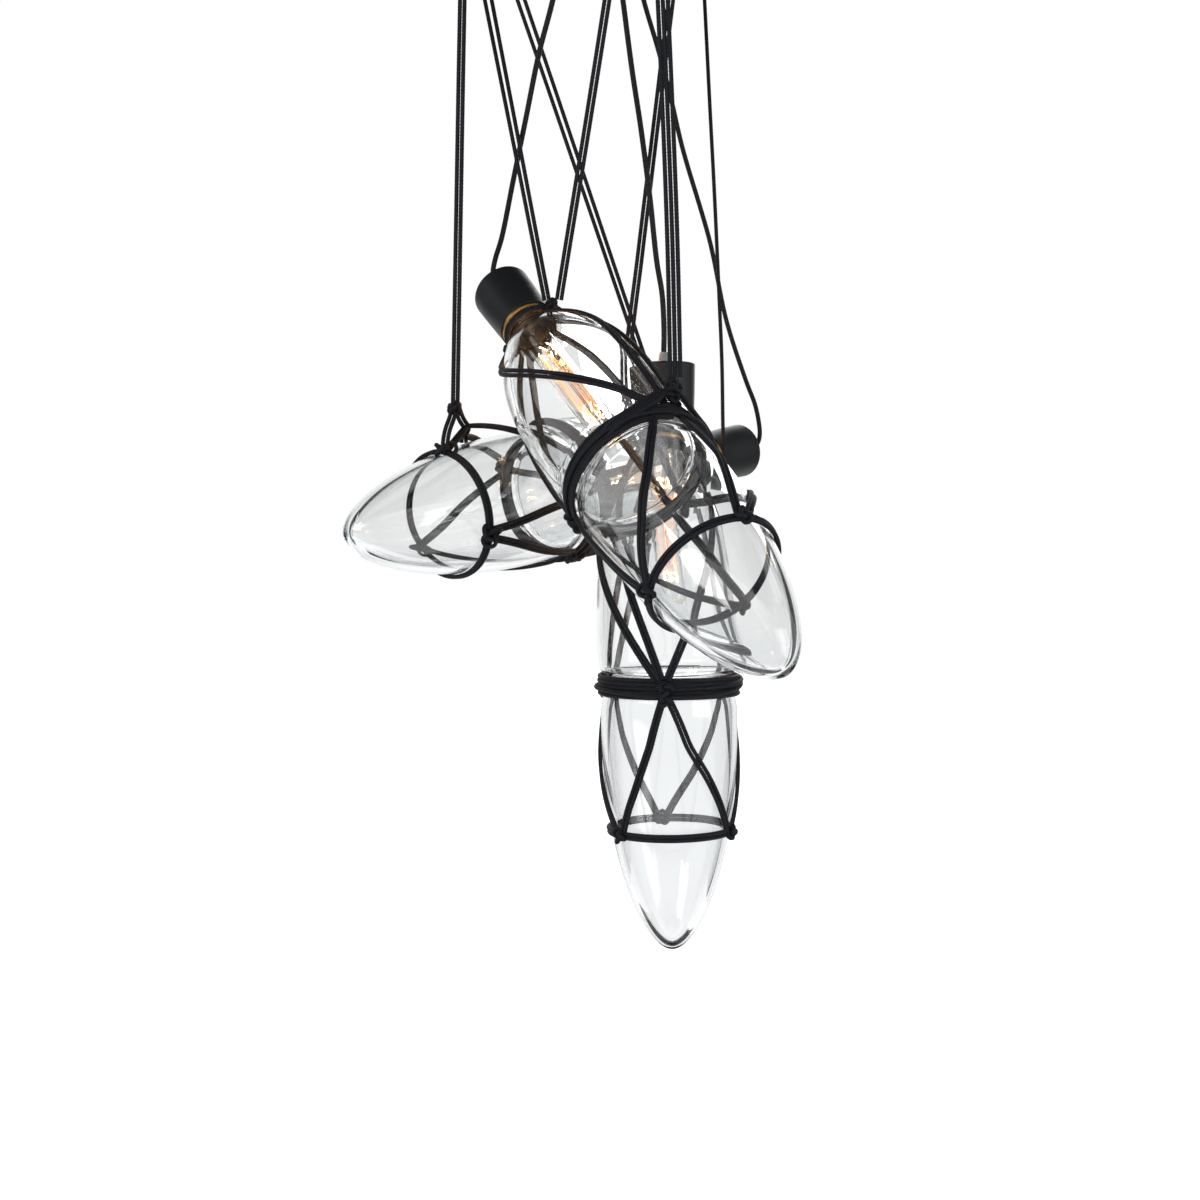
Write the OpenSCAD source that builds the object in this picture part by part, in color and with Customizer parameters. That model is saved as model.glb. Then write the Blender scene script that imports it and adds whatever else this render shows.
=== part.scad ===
// Cluster of three hanging glass lamps on one round ceiling canopy.
// Each lamp has a bottle shaped upper glass round a tubular bulb, a closed
// bullet shaped lower glass below it, and a knotted rope net that carries both.
// Millimetres, +Z up. The origin is the centre of the canopy at the ceiling.

/* [Ceiling canopy] */
// Outer diameter of the canopy
canopy_d = 500; // [490:2:540]
// Depth from the ceiling to the underside of the canopy
canopy_h = 40; // [38:1:60]
// Sheet thickness of the canopy
canopy_wall = 2; // [1.5:0.5:3]
// Radius of the rounded lower edge
canopy_edge_r = 8; // [4:1:12]
// Diameter of the hole that a gathered rope passes
rope_hole_d = 15; // [14.5:0.5:16]
// Diameter of the grommet's hole in the canopy
grommet_hole_d = 12; // [11:0.5:15]
// Number of screws round the side of the canopy
side_screws = 3; // [3:1:6]
// Thread diameter of the side screws
side_screw_d = 4; // [3:0.5:6]

/* [Ceiling bracket] */
// Diameter of the bracket's middle disc
hub_d = 120; // [110:5:140]
// Width of each bracket arm
arm_w = 30; // [24:1:40]
// Thickness of the bracket's steel
bracket_t = 3; // [2:0.5:4]
// Diameter of the circle of ceiling screws
ceiling_pcd = 360; // [300:5:400]
// Diameter of the ceiling screw holes
ceiling_hole_d = 6; // [4:0.5:8]
// Diameter of the hole for the supply cable
supply_hole_d = 16; // [10:1:20]
// Depth of the turned down ends of the arms
ear_h = 22; // [18:1:28]

/* [Cap and lampholder] */
// Diameter of the cap at its closed end
cap_d = 62; // [60:0.5:64]
// Diameter of the cap at its mouth
cap_mouth_d = 57; // [56.5:0.5:59]
// Length of the cap
cap_h = 66; // [65:0.5:68]
// Wall of the cap's side
cap_wall = 2; // [1.5:0.25:2]
// Thickness of the cap's closed end
cap_end_t = 3; // [2:0.5:4]
// Radius of the cap's outer edge
cap_edge_r = 1.5; // [0.5:0.25:3]
// Outer diameter of the lampholder
holder_d = 38; // [34:0.5:40]
// Length of the lampholder
holder_h = 43; // [42:0.5:46]
// Outer diameter of the threaded stem that carries the lampholder
stem_d = 9.8; // [9:0.1:11]
// Thickness of the nut on the stem
nut_t = 1.7; // [1.5:0.1:2]
// Length of the rubber boot over the cable
boot_h = 12; // [10:0.5:12.5]

/* [Bulb] */
// Diameter of the tubular bulb
bulb_d = 30; // [28:0.5:34]
// Length of the bulb's glass
bulb_glass_len = 214; // [180:2:220]
// Thread diameter of the bulb's base
base_d = 26.3; // [26:0.05:26.5]
// Length of the base's threaded shell
base_len = 20; // [18:0.5:22]
// Wall of the bulb's glass
bulb_wall = 0.9; // [0.6:0.1:1.2]
// Diameter of the filament
filament_d = 0.8; // [0.5:0.1:0.9]
// Radius of the ring of filament runs
filament_r = 9; // [8:0.5:10]

/* [Upper glass] */
// Outer diameter of the neck
neck_d = 48.4; // [47.6:0.2:48.8]
// Largest diameter of the upper glass
upper_d = 142.6; // [140:0.2:144]
// Level of the upper glass's bottom below the cap's end
upper_bottom = 311; // [307:1:314]
// Wall of the upper glass
upper_wall = 3.2; // [2.5:0.1:4]
// Outer radius of the bottom corner
upper_corner_r = 13; // [12:0.5:14.5]

/* [Lower glass] */
// Gap between the two glasses
glass_gap = 10; // [9:0.5:12]
// Largest diameter of the lower glass
lower_d = 137.2; // [135:0.2:139]
// Length of the lower glass
lower_len = 267; // [260:1:274]
// Wall of the lower glass
lower_wall = 5; // [4:0.25:7]
// Thickness of the glass at the pointed end
tip_wall = 16; // [10:1:20]
// Outer radius of the shoulder
shoulder_r = 15; // [13:0.5:17]

/* [Rope net] */
// Diameter of the braided rope
rope_d = 4.2; // [3.8:0.1:4.4]
// Distance between a rope and the glass it lies on
rope_gap = 0.4; // [0.3:0.05:0.5]
// Level of the lower rope ring below the cap's end
ring_level = 465; // [460:1:470]
// Rope turns round the waist
waist_turns = 6; // [5:1:6]
// Rope turns round the neck
neck_turns = 2; // [1:1:2]
// Diameter of a knot on the waist band
waist_knot_d = 17; // [15:0.5:18]
// Diameter of a knot on the neck wrap
neck_knot_d = 10.4; // [9.6:0.1:10.6]
// Diameter of a knot on the lower ring
ring_knot_d = 18; // [17:0.5:19]
// Diameter of the stopper ball above the canopy's floor
stopper_d = 18; // [17.5:0.5:19]

/* [Power cable] */
// Diameter of the power cable
cable_d = 5.5; // [5:0.1:6]
// Diameter of the leads inside the canopy
lead_d = 4.5; // [3.5:0.1:5]

/* [Hidden] */
LAMPS = ["upright", "slant", "level"];
CEILING_PIECES = ["ceiling_bracket", "earth_screw", "canopy", "canopy_screws", "terminal_block", "cable_grommets",
    "cable_grips", "supply_leads"];
LAMP_PIECES = ["cap", "cable_boot", "lampholder", "socket_contacts", "neck_ring", "upper_glass", "lower_glass",
    "bulb_base", "bulb_glass", "bulb_mount", "filament", "neck_wrap", "waist_wrap", "upper_net", "lower_net",
    "ropes", "cable"];
$fn = 72;

// Clearance between pieces that are fitted together by hand
fit_gap = 0.3;
// Clearance between a thread and its plain hole
thread_gap = 0.05;
// Length by which a cut runs past the face that it opens
past = 1;
// Slack of the waist band round the glass
band_slack = 1;
// Bore clearance of a grommet round the cable, which tilts a little in it
grommet_gap = 0.9;

// Levels along a lamp's own axis, measured down from the cap's end
holder_top = cap_end_t + nut_t + fit_gap;
holder_bottom = holder_top + holder_h;
socket_roof = holder_top + 10;
contact_level = socket_roof + 3;
shell_top = contact_level + 6;
base_bottom = shell_top + base_len;
bulb_end = base_bottom + bulb_glass_len;
neck_lip = cap_h - 22;
lip_h = 5.6;
ring_flange_top = cap_h + fit_gap;
ring_flange_t = 4;
neck_wrap_top = ring_flange_top + ring_flange_t + 0.7;
flare_start = cap_h + 14;
upper_wide = upper_bottom - 45;
lower_top = upper_bottom + glass_gap;
lower_wide = lower_top + 31;
tip_level = lower_top + lower_len;
waist_level = lower_top - 1.5;

// A row of points on a cubic curve, without the first one.
function bez_at(p, t) = pow(1 - t, 3) * p[0] + 3 * pow(1 - t, 2) * t * p[1]
    + 3 * (1 - t) * t * t * p[2] + pow(t, 3) * p[3];
function bez(p, n) = [for (i = [1 : n]) bez_at(p, i / n)];
// A row of points on an arc, with both ends.
function arc(centre, r, from, to, n) =
    [for (i = [0 : n]) centre + r * [cos(from + (to - from) * i / n), sin(from + (to - from) * i / n)]];

// Outline of the upper glass as [radius, level], from the neck to the bottom.
// inset moves it inwards for the inner face.
function upper_outline(inset) = let (
        rn = neck_d / 2 - inset,
        rw = upper_d / 2 - inset,
        rc = upper_corner_r - inset,
        foot = upper_bottom - inset,
        flare = [rn + 9, flare_start + 14 + inset / 2])
    concat(
        [[rn, flare_start - 4]],
        bez([[rn, flare_start - 4], [rn, flare_start + 4], flare - [5, 6], flare], 5),
        bez([flare, flare + [29, 44], [rw, upper_wide - 100], [rw, upper_wide]], 16),
        bez([[rw, upper_wide], [rw, upper_wide + 20], [rw, foot - rc - 8], [rw - 1, foot - rc]], 4),
        arc([rw - 1 - rc, foot - rc], rc, 10, 90, 6),
        [[0, foot]]);

// Outline of the lower glass as [radius, level], from the flat top to the tip.
function lower_outline(inset, tip_inset) = let (
        rw = lower_d / 2 - inset,
        rs = shoulder_r - inset,
        top = lower_top + inset,
        end = tip_level - tip_inset,
        nose = 27 - inset * 1.6)
    concat(
        [[0, top]],
        arc([rw - 1.5 - rs, top + rs], rs, -90, -8, 7),
        [[rw, lower_wide]],
        bez([[rw, lower_wide], [rw, lower_wide + 151], [nose, end], [0, end]], 26));

// Radius of the glass at a level.
corner_start = upper_d / 2 - upper_corner_r;
upper_table = [for (p = upper_outline(0)) if (p[0] > corner_start || p[1] < upper_wide) [p[1], p[0]]];
lower_table = [for (p = lower_outline(0, 0)) if (p[0] > 0) [p[1], p[0]]];
function glass_r(s) = s < lower_top ? lookup(s, upper_table) : lookup(s, lower_table);
function glass_slope(s) = (glass_r(s + 1.5) - glass_r(s - 1.5)) / 3;
function glass_n(a, s) = let (m = glass_slope(s)) [cos(a), sin(a), m] / sqrt(1 + m * m);
// A point at angle a and level s, held off the glass along the glass's own normal.
function on_glass(a, s, off) = [glass_r(s) * cos(a), glass_r(s) * sin(a), -s] + off * glass_n(a, s);
// A point at angle a and level s on a circle of radius r.
function around(r, a, s) = [r * cos(a), r * sin(a), -s];

// Rope bands
turn_pitch = rope_d - 0.1;
function band_half(turns) = turn_pitch * (turns - 1) / 2 + rope_d / 2;
neck_wrap_r = neck_d / 2 + rope_gap + rope_d / 2;
neck_wrap_level = neck_wrap_top + band_half(neck_turns);
band_top = waist_level - band_half(waist_turns);
band_bottom = waist_level + band_half(waist_turns);
band_r = max(glass_r(band_top), glass_r(band_bottom)) + rope_gap + band_slack + rope_d / 2;
ball_r = stopper_d / 2;
seat_z = canopy_wall - canopy_h + sqrt(pow(ball_r + fit_gap, 2) - pow(rope_hole_d / 2, 2));

// Levels at which the doubled ropes of the nets start and stop, and between which they touch the glass
net_top = neck_wrap_level + band_half(neck_turns) + 1.4;
upper_end = band_top - 1;
lower_start = band_bottom + 1;
lower_end = ring_level - 6.5;
upper_touch = upper_bottom - upper_corner_r;
lower_touch = lower_top + shoulder_r;

// Where each lamp hangs: the cap's end, the lean from plumb and the compass direction of the lean
lamp_places = [[[64, -35, -524.5], 1.7, 59], [[-101.5, 26, -440], 50, -56.2], [[166.5, 260.5, -582], 78.3, 225.9]];

// Doubled ropes over each upper glass: the angle at the neck and the angle at the waist
upper_runs = [
    [[20, 80], [50, 92], [80, 190], [138, 201], [287, 211], [310, 326], [350, 338]],
    [[14, 0], [36, 13], [80, 112], [120, 124], [170, 213], [195, 222], [225, 347]],
    [[70, 80], [105, 92], [135, 154], [215, 166], [240, 292], [340, 304]]];
// Doubled ropes over each lower glass: the angle at the waist and the angle at the ring
lower_runs = [
    [[86, 42], [96, 152], [200, 162], [211, 272], [325, 282], [335, 392]],
    [[-16, -103], [10, -7], [112, 8], [124, 119], [216, 131], [226, 247]],
    [[78, 18], [90, 105], [154, 115], [166, 230], [292, 240], [304, 367]]];
neck_knots = [[20, 121, 240], [26, 150, 215], [105, 345, 220]];
waist_knots = [[206, 330, 90], [118, 222], [86, 160, 298]];
ring_knots = [[37, 157, 277], [-2, 125, 252], [12, 110, 235]];

// Where ropes and cables pass the canopy, each lamp's on one straight row
rope_holes = [
    [[-119, -27], [86, -27]],
    [[-135, -5], [33, -172], [48.5, -187]],
    [[-135, -42.5], [118.5, 198.5]]];
cable_holes = [[8, -27], [-20, -119], [38, 121.5]];

// Routes of the ropes, from the lamp up to the canopy
upright_left_route = [[29.5, -33, -594], [27, -33, -565], [27, -33, -522], [40, -31.5, -415], [52, -30.5, -316],
    [63, -29.5, -225], [75, -28, -127], [85, -27, -46], [86, -27, -39], [86, -27, -33]];
upright_back_route = [[71, -0.5, -591], [60, 1, -560], [47.5, -1, -524], [19, -5, -441], [-16, -11, -339],
    [-50, -16, -240], [-85, -21.5, -139], [-116.5, -26.5, -47], [-119, -27, -39], [-119, -27, -33]];
slant_pair_route = [[-53.5, -28, -458.5], [-62, -26, -415], [-80, -21, -322], [-98, -15.5, -230],
    [-117, -10, -133], [-134, -5.3, -46], [-135, -5, -39], [-135, -5, -33]];
slant_right_route = [[-41, -32.5, -459], [-33, -49, -415], [-16, -79, -322], [0, -109, -232], [17, -141, -133],
    [31.5, -169, -46], [33, -172, -39], [33, -172, -33]];
slant_bundle_route = [[67, -208, -562.5], [64.5, -203.5, -440], [60, -198, -310], [54.5, -192.5, -180],
    [49, -187.5, -46], [48.5, -187, -39], [48.5, -187, -33]];
level_left_route = [[-141.5, -69.8, -567], [-140.5, -65, -480], [-139, -59, -360], [-137.5, -53, -240],
    [-136, -47, -130], [-135, -43, -46], [-135, -42.5, -39], [-135, -42.5, -33]];
level_right_route = [[141.5, 186, -598], [140.5, 187, -560], [139.5, 188.5, -490], [136.5, 190, -415],
    [131.5, 192.5, -300], [126, 195, -190], [119, 198.3, -46], [118.5, 198.5, -39], [118.5, 198.5, -33]];
level_saddle = [-141.5, -70, -573];
level_near_leg = [[-143, -72.5, -575.5], [-144.5, -75, -583], [-147.5, -80, -593], [-149.5, -85, -602]];
level_far_leg = [[-138.5, -65, -575], [-136, -60, -583], [-131, -50, -589], [-127, -40, -593.5]];

// Routes of the cables, from the boot up to the canopy
cable_routes = [
    [[63.8, -35.3, -512.2], [64, -36, -490], [62, -38, -455], [56.5, -42, -423], [49.5, -46, -360],
        [40.5, -44, -290], [32, -40, -232], [22.5, -35, -157], [14.5, -30, -95], [9, -27.5, -60], [8, -27, -45],
        [8, -27, -33]],
    [[-106.7, 33.8, -432.2], [-110.5, 39.5, -426], [-112.5, 43.5, -416], [-110, 42.5, -402], [-103, 34, -383],
        [-89, 8, -328], [-75, -19, -274], [-60.5, -46, -217], [-46, -70, -173], [-34, -92, -125],
        [-25.5, -109, -84], [-21, -117, -56], [-20, -119, -43], [-20, -119, -33]],
    [[175, 269, -579.5], [183, 277.5, -577], [190, 284, -571], [193, 288, -561], [192.5, 289, -549],
        [187.5, 287, -525], [176, 283, -496], [151, 267, -426], [130, 245, -338], [95, 201, -239],
        [80, 179, -186], [65, 157, -140], [48.5, 136, -94], [41, 126, -64], [38.3, 122, -49], [38, 121.5, -42],
        [38, 121.5, -33]]];

// Routes of the leads from above the grommets to the terminal block
lead_routes = [
    [[8, -27, -32.7], [8, -27, -24], [10, -26, -17.5], [14, -23, -12.5], [18.5, -17, -10.3], [20, -11, -10],
        [20, -6.5, -10]],
    [[-20, -119, -32.7], [-20, -119, -24], [-17, -112, -19], [-6, -90, -17.5], [10, -58, -16.5], [26, -26, -12.5],
        [32, -15, -10.5], [32, -6.5, -10]],
    [[38, 121.5, -32.7], [38, 121.5, -24], [41, 115, -19.5], [60, 80, -19], [74, 40, -19], [76, 5, -18],
        [66, -20, -14], [50, -24, -11], [44.5, -16, -10], [44, -6.5, -10]]];

function unit(v) = v / norm(v);
function tangent(pts, i) = unit(pts[min(i + 1, len(pts) - 1)] - pts[max(i - 1, 0)]);

// A closed sweep of rings, ovals of half width a and half height b, where b lies along each point's normal.
module sweep(pts, normals, a, b, sides) {
    last = len(pts) - 1;
    rings = [for (i = [0 : last]) let (
            t = tangent(pts, i),
            side = unit(cross(normals[i], t)),
            up = cross(t, side))
        for (k = [0 : sides - 1]) pts[i] + a * cos(360 * k / sides) * side + b * sin(360 * k / sides) * up];
    polyhedron(rings, concat(
        [[for (k = [0 : sides - 1]) k]],
        [for (i = [0 : last - 1]) for (k = [0 : sides - 1]) let (n = (k + 1) % sides)
            [i * sides + k, (i + 1) * sides + k, (i + 1) * sides + n]],
        [for (i = [0 : last - 1]) for (k = [0 : sides - 1]) let (n = (k + 1) % sides)
            [i * sides + k, (i + 1) * sides + n, i * sides + n]],
        [[for (k = [0 : sides - 1]) last * sides + sides - 1 - k]]));
}

// A round rope or cable along its points.
module cord(pts, d) {
    sweep(pts, [for (p = pts) [0, 1, 0.02]], d / 2, d / 2, 8);
}

// Two ropes beside each other, the distance between them given at both ends.
module twin_cord(pts, low, high) {
    last = len(pts) - 1;
    for (side = [-0.5, 0.5])
        cord([for (i = [0 : last]) pts[i]
            + side * (low + (high - low) * i / last) * unit(cross(tangent(pts, i), [0, 1, 0]))], rope_d);
}

// A doubled rope as one flat oval. It lies on the glass, runs straight on past the glass's rounded corner,
// and both its ends are square to the lamp's axis.
module strand(a0, s0, a1, s1) {
    steps = ceil(max(abs(a1 - a0) / 7, abs(s1 - s0) / 16));
    square = 3;
    at = concat([[a0, s0]],
        [for (i = [0 : steps]) [a0 + (a1 - a0) * i / steps, s0 + square + (s1 - s0 - 2 * square) * i / steps]],
        [[a1, s1]]);
    function touch(s) = s < waist_level ? min(s, upper_touch) : max(s, lower_touch);
    sweep([for (p = at) on_glass(p[0], touch(p[1]), rope_gap + rope_d / 2) - [0, 0, p[1] - touch(p[1])]],
        [for (p = at) glass_n(p[0], touch(p[1]))], rope_d, rope_d / 2, 6);
}

// Puts a lamp's own frame, with its axis down -Z, in its place.
module hung(place) {
    translate(place[0])
        rotate([0, -place[1], place[2]])
            children();
}

// Pieces of one lamp, in the lamp's own frame.

// Spun metal cap over the lampholder and the glass's neck
module cap() {
    r0 = cap_d / 2;
    r1 = cap_mouth_d / 2;
    hole_r = stem_d / 2 + thread_gap;
    color("black") rotate_extrude()
        polygon(concat(
            [[hole_r, 0]],
            arc([r0 - cap_edge_r, -cap_edge_r], cap_edge_r, 90, 0, 4),
            [[r1, -cap_h], [r1 - cap_wall, -cap_h], [r0 - cap_wall, -cap_end_t], [hole_r, -cap_end_t]]));
}

// Rubber boot with the threaded stem below it and the nut inside the cap
module cable_boot() {
    r = stem_d / 2;
    bore = cable_d / 2 + fit_gap / 2;
    stem_end = -socket_roof + fit_gap;
    color("dimgray") rotate_extrude()
        polygon([[bore, boot_h], [bore + 1.2, boot_h], [r + 0.4, 3], [r + 2, 2.2], [r + 2, 0],
            [r, 0], [r, stem_end], [bore, stem_end]]);
    color("dimgray") translate([0, 0, -cap_end_t - nut_t])
        difference() {
            cylinder(r = r + 3, h = nut_t);
            translate([0, 0, -past])
                cylinder(r = r + thread_gap, h = nut_t + 2 * past);
        }
}

module lampholder() {
    r = holder_d / 2;
    hole_r = stem_d / 2 + thread_gap;
    cavity_r = base_d / 2 + 2 * thread_gap + 0.9;
    color("black") rotate_extrude()
        polygon([[hole_r, -holder_top], [r - 2, -holder_top], [r, -holder_top - 2], [r, -holder_bottom],
            [cavity_r + 1.2, -holder_bottom], [cavity_r, -holder_bottom + 1.2], [cavity_r, -socket_roof],
            [hole_r, -socket_roof]]);
}

// Threaded shell, centre contact and the contact's tongue
module socket_contacts() {
    inner_r = base_d / 2 + thread_gap;
    color("gold") {
        translate([0, 0, -holder_bottom + 2])
            difference() {
                cylinder(r = inner_r + 0.9, h = holder_bottom - 2 - shell_top);
                translate([0, 0, -past])
                    cylinder(r = inner_r, h = holder_bottom);
            }
        translate([0, 0, -contact_level])
            cylinder(r = 4, h = 1.2);
        translate([3, -2, -contact_level])
            cube([9, 4, contact_level - socket_roof - fit_gap]);
    }
}

// Brass ring that screws into the cap and holds the glass's lip
module neck_ring() {
    flange_r = cap_mouth_d / 2 - 0.7;
    bore = neck_d / 2 + fit_gap;
    thread_r = cap_mouth_d / 2 - cap_wall - fit_gap;
    thread_top = -neck_lip - lip_h - 0.4;
    color("goldenrod") rotate_extrude()
        polygon([[bore, thread_top], [thread_r, thread_top], [thread_r, -ring_flange_top],
            [flange_r, -ring_flange_top], [flange_r, -ring_flange_top - ring_flange_t],
            [bore, -ring_flange_top - ring_flange_t]]);
}

module upper_glass() {
    lip_r = cap_mouth_d / 2 - cap_wall - 2 * fit_gap;
    inner = upper_outline(upper_wall);
    last = len(inner) - 1;
    color("lightblue") rotate_extrude()
        polygon(concat(
            [[neck_d / 2 - upper_wall, -neck_lip], [lip_r - 1, -neck_lip], [lip_r, -neck_lip - 1],
                [lip_r, -neck_lip - lip_h + 1.1], [neck_d / 2, -neck_lip - lip_h]],
            [for (p = upper_outline(0)) [p[0], -p[1]]],
            [for (i = [0 : last]) [inner[last - i][0], -inner[last - i][1]]]));
}

// Closed hollow glass with a thick pointed end
module lower_glass() {
    color("lightcyan") difference() {
        rotate_extrude()
            polygon([for (p = lower_outline(0, 0)) [p[0], -p[1]]]);
        rotate_extrude()
            polygon([for (p = lower_outline(lower_wall, tip_wall)) [p[0], -p[1]]]);
    }
}

module bulb_base() {
    r = base_d / 2;
    pitch = 3.63;
    turns = floor(base_len / pitch);
    start = shell_top + (base_len - turns * pitch) / 2;
    tip = contact_level + thread_gap;
    color("silver") rotate_extrude()
        polygon(concat(
            [[0, -tip], [4, -tip], [4.8, -tip - 1.2], [r - 2, -shell_top], [r - 1, -shell_top]],
            [for (i = [0 : turns - 1]) for (p = [[-0.9, 0.15], [0, 0.4], [0, 0.6], [-0.9, 0.85]])
                [r + p[0], -start - pitch * (i + p[1])]],
            [[r - 0.6, -base_bottom], [r - 1.6, -base_bottom], [r - 1.6, -shell_top - 1], [0, -shell_top - 1]]));
}

// The tube narrows to a collar that is cemented in the base.
module bulb_glass() {
    r = bulb_d / 2;
    collar = base_d / 2 - 1.6 - thread_gap;
    neck = base_bottom + 1;
    function tube(inset) = concat(
        [[collar - inset, -base_bottom + 6], [collar - inset, -neck]],
        [for (p = bez([[collar - inset, neck], [collar - inset, neck + 5], [r - inset, neck + 5],
            [r - inset, neck + 13]], 6)) [p[0], -p[1]]],
        [for (p = arc([0, 0], r - inset, 0, 90, 8)) [p[0], -(bulb_end - r) - p[1]]]);
    inner = tube(bulb_wall);
    last = len(inner) - 1;
    color("white") rotate_extrude()
        polygon(concat(tube(0), [for (i = [0 : last]) inner[last - i]]));
}

hook_top = base_bottom + 52;
hook_bottom = bulb_end - 24;
filament_runs = 12;
function run_angle(i) = 30 * i;

// Pressed glass stem, long centre rod and two stars of support wires
module bulb_mount() {
    rod_r = 1.3;
    wire_d = 0.7;
    cuff = base_bottom + 34;
    flare_r = base_d / 2 - 1.6 - thread_gap - bulb_wall - fit_gap;
    color("lightgray") {
        rotate_extrude()
            polygon([[0, -base_bottom], [flare_r, -base_bottom], [flare_r - 4.5, -base_bottom - 6], [4, -cuff + 6],
                [2.4, -cuff], [rod_r, -cuff], [rod_r, -hook_bottom - 3], [0, -hook_bottom - 5]]);
        for (i = [0 : filament_runs - 1])
            translate([0, 0, i % 2 == 0 ? -hook_top : -hook_bottom])
                rotate([0, 90, run_angle(i)])
                    cylinder(d = wire_d, h = filament_r - filament_d / 2 - fit_gap);
    }
}

// One long wire that runs down and up between the two stars, with a small bow round each hook
module filament() {
    bow = 5;
    pts = [for (i = [0 : filament_runs - 1]) for (k = [-1 : 1]) let (
            a = run_angle(i) + k * bow,
            away = k == 0 ? 1.2 : 0,
            level = i % 2 == 0 ? hook_top - away : hook_bottom + away)
        [filament_r * cos(a), filament_r * sin(a), -level]];
    color("orange") sweep(pts, [for (p = pts) unit([p[0], p[1], 0])], filament_d / 2, filament_d / 2, 6);
}

// Rope turns that lie side by side, as one solid with shallow valleys
module turns(count, r, level) {
    web = rope_d / 2 - 0.35;
    half = turn_pitch * (count - 1) / 2;
    rotate_extrude() {
        for (i = [0 : count - 1])
            translate([r, -level - turn_pitch * i + half])
                circle(d = rope_d);
        translate([r - web, -level - half])
            square([2 * web, 2 * half]);
    }
}

module neck_wrap(knots) {
    color("black") {
        turns(neck_turns, neck_wrap_r, neck_wrap_level);
        for (a = knots)
            translate(around(neck_wrap_r + 4.6, a, neck_wrap_level))
                sphere(d = neck_knot_d);
    }
}

module waist_wrap(knots) {
    color("black") {
        turns(waist_turns, band_r, waist_level);
        for (a = knots)
            translate(around(band_r + 2, a, waist_level))
                sphere(d = waist_knot_d);
    }
}

module upper_net(runs) {
    color("black")
        for (run = runs)
            strand(run[0], net_top, run[1], upper_end);
}

// A flat knot that rests on the glass
module ring_knot(a) {
    r = ring_knot_d / 2;
    translate(on_glass(a, ring_level, rope_gap))
        rotate([0, 90 - atan(glass_slope(ring_level)), a])
            rotate_extrude($fn = 30)
                polygon([[0, 0], [r - 3, 0], [r, 2.2], [r, 5], [r - 3, 8.5], [0, 9.5]]);
}

// Struts, the two turns of rope that hold the taper, and the knots where they meet
module lower_net(runs, knots) {
    color("black") {
        for (run = runs)
            strand(run[0], lower_start, run[1], lower_end);
        rotate_extrude($fn = 60)
            for (side = [-1, 1]) {
                at = on_glass(0, ring_level + side * 1.9, rope_gap + rope_d / 2);
                translate([at[0], at[2]])
                    circle(d = rope_d, $fn = 16);
            }
        for (a = knots)
            ring_knot(a);
    }
}

// Ropes from a lamp to the canopy, in the part's own frame.

// A rope's stopper ball, seated in the hole of the canopy's floor
module stopper(at) {
    translate([at[0], at[1], seat_z])
        rotate([90, 0, 0])
            sphere(r = ball_r);
}

snug = rope_d + 0.3;
spread = rope_d + 3.5;

module upright_ropes() {
    color("black") {
        twin_cord(upright_left_route, snug, snug);
        twin_cord(upright_back_route, snug, spread);
        for (at = rope_holes[0])
            stopper(at);
    }
}

// Two doubled ropes from the neck, and a bundle of three whose gathered knot holds the waist band
module slant_ropes() {
    apex = around(band_r + 14.4, 6, band_top - 3.5);
    over = band_r + rope_d + fit_gap + 0.5;
    color("black") {
        twin_cord(slant_pair_route, snug, spread);
        twin_cord(slant_right_route, snug, snug);
        twin_cord(slant_bundle_route, 2 * snug, 2 * snug);
        cord(slant_bundle_route, rope_d);
        for (at = rope_holes[1])
            stopper(at);
        hung(lamp_places[1]) {
            translate(apex)
                rotate([0, lamp_places[1][1] + 90, 0])
                    sphere(d = stopper_d);
            for (side = [-1, 1])
                for (row = [-0.5, 0.5])
                    cord([apex + [0, side * 2.6, row * snug], around(over + 4, 6 + side * 12, band_top + 2 + row * snug),
                        around(over, 6 + side * 22, band_top + 7 + row * snug),
                        around(over, 6 + side * 34, band_top + 12 + row * snug)], rope_d);
        }
    }
}

// The left rope ends in a knot from which two legs reach the net.
module level_ropes() {
    color("black") {
        twin_cord(level_left_route, snug, snug);
        cord(level_right_route, rope_d);
        translate(level_saddle)
            rotate([90, 0, 0])
                sphere(d = stopper_d);
        twin_cord(level_near_leg, snug, snug);
        cord(level_far_leg, rope_d);
        for (at = rope_holes[2])
            stopper(at);
    }
}

module cable(route) {
    color("black") cord(route, cable_d);
}

// Pieces at the ceiling.

// Repeats its children once for each side screw.
module at_side_screws() {
    for (i = [0 : side_screws - 1])
        rotate([0, 0, 30 + 360 * i / side_screws])
            children();
}

inner_r = canopy_d / 2 - canopy_wall - fit_gap;
arm_end = sqrt(inner_r * inner_r - arm_w * arm_w / 4);
screw_z = -ear_h / 2;
earth_at = [-35, 25];
earth_d = 5;

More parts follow.
